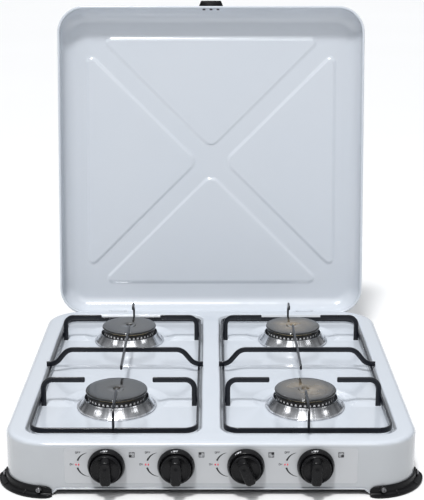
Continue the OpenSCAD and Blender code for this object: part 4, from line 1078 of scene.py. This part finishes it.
# The lid's wall from its rolled edge up to its flat face, as (distance in, height)
LID_SHEET, LID_HEM_R, LID_STEP = 0.9 * MM, 0.9 * MM, 7 * MM
hem = arc_profile((0, LID_HEM_R + LID_SHEET), LID_HEM_R, 40, -180, 8)
lid_rows = [(-x, z) for x, z in hem] + [(0, 3.2 * MM), (0, 5.5 * MM), (0, LID_SKIRT)]
lid_rows += [(inset, LID_SKIRT + height) for inset, height in rounded_edge(LID_BEND, 16)]
rows = []
for inset, height in lid_rows:
    ring = outline(LID_W - 2 * inset, LID_D - 2 * inset, max(LID_R - inset, 1 * MM), LID_CENTRE, LID_STEP,
                   CORNER_STEPS, (LID_W, LID_D, LID_R))
    rows.append(np.column_stack([ring, np.full(len(ring), LID_BASE + height)]))
half_x, half_y = LID_W / 2 - GRID_BORDER, LID_D / 2 - GRID_BORDER
gx, gy = np.meshgrid(np.linspace(-half_x, half_x, int(2 * half_x / GRID_STEP)),
                     LID_CENTRE[1] + np.linspace(-half_y, half_y, int(2 * half_y / GRID_STEP)), indexing="ij")
face = np.dstack([gx, gy, LID_BASE + LID_H - panel_depth(gx, gy)])[:, ::-1]
build = gathered([surface("lid_wall", np.array(rows)), surface("lid_face", face, around=False)])
fill_top(build, LID_BASE + LID_H)
LID_ENAMEL = vitreous("lid_enamel", (0.585, 0.62, 0.67), (0.57, 0.61, 0.665), 0.14)
lid = piece("lid_enamel", swung_open(finished("lid_enamel", build)), "lid_assembly", "white_enamel", LID_ENAMEL,
            "lid")
thicken(lid, LID_SHEET, -1, even=True)

# ---- Lid handle ----
# A small moulded black lug, riveted to the middle of the lid's front edge.

HANDLE_W, HANDLE_TAPER, HANDLE_OUT, HANDLE_T = 39 * MM, 5 * MM, 10 * MM, 7 * MM
HANDLE_R = 2.5 * MM
RIVET_Z = LID_BASE + LID_SKIRT / 2


def handle_ring(level, inset):
    """The lug's outline at one level: a trapezoid with rounded outer corners, drawn in by inset."""
    half, tip = HANDLE_W / 2 - inset, HANDLE_W / 2 - HANDLE_TAPER - inset + 1 * MM
    path = bent([(half, 0), (tip, -HANDLE_OUT + inset), (-tip, -HANDLE_OUT + inset), (-half, 0)], HANDLE_R,
                steps=6, spacing=1)
    return np.column_stack([path[:, 0], LID_FRONT + path[:, 1], np.full(len(path), level)])


handle_rows = [(-1, 1.0), (-0.85, 0.3), (-0.7, 0.0), (0.7, 0.0), (0.85, 0.3), (1, 1.0)]
grid = np.array([handle_ring(RIVET_Z + share * HANDLE_T / 2, inset * MM) for share, inset in handle_rows])
piece("handle_lug", surface("lug", opened(grid), ends=(True, True)), "lid_assembly", "black_plastic",
      KNOB_PLASTIC, "lid_handle", sharp_above=50)

# The handle's three studs come through the lid's edge and are spread inside it. The rivets of the
# hinges are set before the lid is enamelled, so they are as white as it is.
STUD_PITCH, STUD_R, STUD_IN, STUD_BACK = 11 * MM, 2.3 * MM, 4.2 * MM, 0.5 * MM
STUD_PROFILE = np.array([(STUD_R * 0.8, 0), (STUD_R * 0.8, STUD_IN * 0.55), (STUD_R, STUD_IN * 0.6),
                         (STUD_R, STUD_IN * 0.9), (STUD_R * 0.85, STUD_IN), (0.02 * MM, STUD_IN)])
STUD_STEEL = metal("stud_steel", (0.16, 0.16, 0.17), (0.08, 0.08, 0.085), 0.4)
for k in (-1, 0, 1):
    stud = lathe("stud", STUD_PROFILE * [1, -1], (k * STUD_PITCH, LID_FRONT + STUD_BACK, RIVET_Z), axis="y",
                 sides=24, ends=(True, True))
    piece(f"handle_stud_{k + 2}", swung_open(stud), "lid_assembly", "steel", STUD_STEEL)
f = Finish("enamelled_rivets", IOR=1.55)
cloud = f.noise(40.0, 2.0)
f.set(Base_Color=f.mix(cloud, (0.565, 0.60, 0.65, 1), (0.55, 0.59, 0.645, 1)),
      Roughness=f.spread(cloud, 0.3, 0.7, 0.14, 0.22))
finish_node("lid_rivets", f.material)

# ---- Camera and light ----
# A plain pale floor lies under a soft sun and three softboxes. The surroundings are pale above and
# behind and darker in front and at the sides, which gives the polished metal something to mirror.

CAMERA_BACK, CAMERA_HIGH, CAMERA_DOWN = 1.368, 0.677, 15.16
LENS, FRAME_SHIFT = 89.3, 0.002
camera = bpy.data.objects.new("camera", bpy.data.cameras.new("camera"))
camera.location = (0, front_y - CAMERA_BACK, CAMERA_HIGH)
camera.rotation_euler = (np.radians(90 - CAMERA_DOWN), 0, 0)
camera.data.lens, camera.data.shift_x = LENS, FRAME_SHIFT
bpy.context.scene.collection.objects.link(camera)
bpy.context.scene.camera = camera

FLOOR_SIZE = 40.0
SKY_STRENGTH = 1.0
bpy.ops.mesh.primitive_plane_add(size=FLOOR_SIZE, location=(0, 0, 0))
ground = bpy.context.object
ground.name = "floor"
f = Finish("floor", Roughness=0.6)
f.set(Base_Color=f.mix(f.noise(0.8, 2.0), (0.85, 0.85, 0.85, 1), (0.88, 0.88, 0.88, 1)))
ground.data.materials.append(f.material)

world = bpy.data.worlds.new("studio")
bpy.context.scene.world = world
world.use_nodes = True
sky = world.node_tree
direction = sky.nodes.new("ShaderNodeTexCoord")
split = sky.nodes.new("ShaderNodeSeparateXYZ")
bands = sky.nodes.new("ShaderNodeValToRGB")
sky.links.new(direction.outputs["Generated"], split.inputs[0])
side, depth, height = (Wire(sky, socket) for socket in split.outputs)
brightness = height * 0.8 + depth * 0.25 - side.math("ABSOLUTE") * 0.35 + 0.2
plug(sky, bands.inputs[0], brightness)
sky.links.new(bands.outputs[0], sky.nodes["Background"].inputs["Color"])
bands.color_ramp.elements[0].color = (0.13, 0.135, 0.14, 1)
bands.color_ramp.elements[1].color = (0.90, 0.92, 0.95, 1)
for place, shade in ((0.2, 0.2), (0.45, 0.34), (0.62, 0.5), (0.8, 0.78)):
    stop = bands.color_ramp.elements.new(place)
    stop.color = (shade, shade * 1.02, shade * 1.05, 1)
sky.nodes["Background"].inputs["Strength"].default_value = SKY_STRENGTH
bpy.context.scene.view_settings.view_transform = "Standard"


def lamp(name, kind, place, aim, size, power):
    """A lamp at a place that points at its aim. A sun's size is its width in degrees, and a
    softbox's is its side."""
    data = bpy.data.lights.new(name, kind)
    data.energy = power
    if kind == "SUN":
        data.angle = np.radians(size)
    else:
        data.size = size
    thing = bpy.data.objects.new(name, data)
    thing.location = place
    thing.rotation_euler = (Vector(aim) - Vector(place)).to_track_quat("-Z", "Y").to_euler()
    bpy.context.scene.collection.objects.link(thing)


lamp("key", "SUN", (-0.25, -0.95, 1.95), (0, 0, 0), 8, 2.3)
lamp("front", "AREA", (0, -2.0, 2.2), (0, 0, 0.1), 1.7, 14)
lamp("left", "AREA", (-2.2, -1.2, 1.5), (0, 0, 0.1), 0.7, 3)
lamp("right", "AREA", (2.2, -1.0, 1.4), (0, 0, 0.1), 0.5, 2)
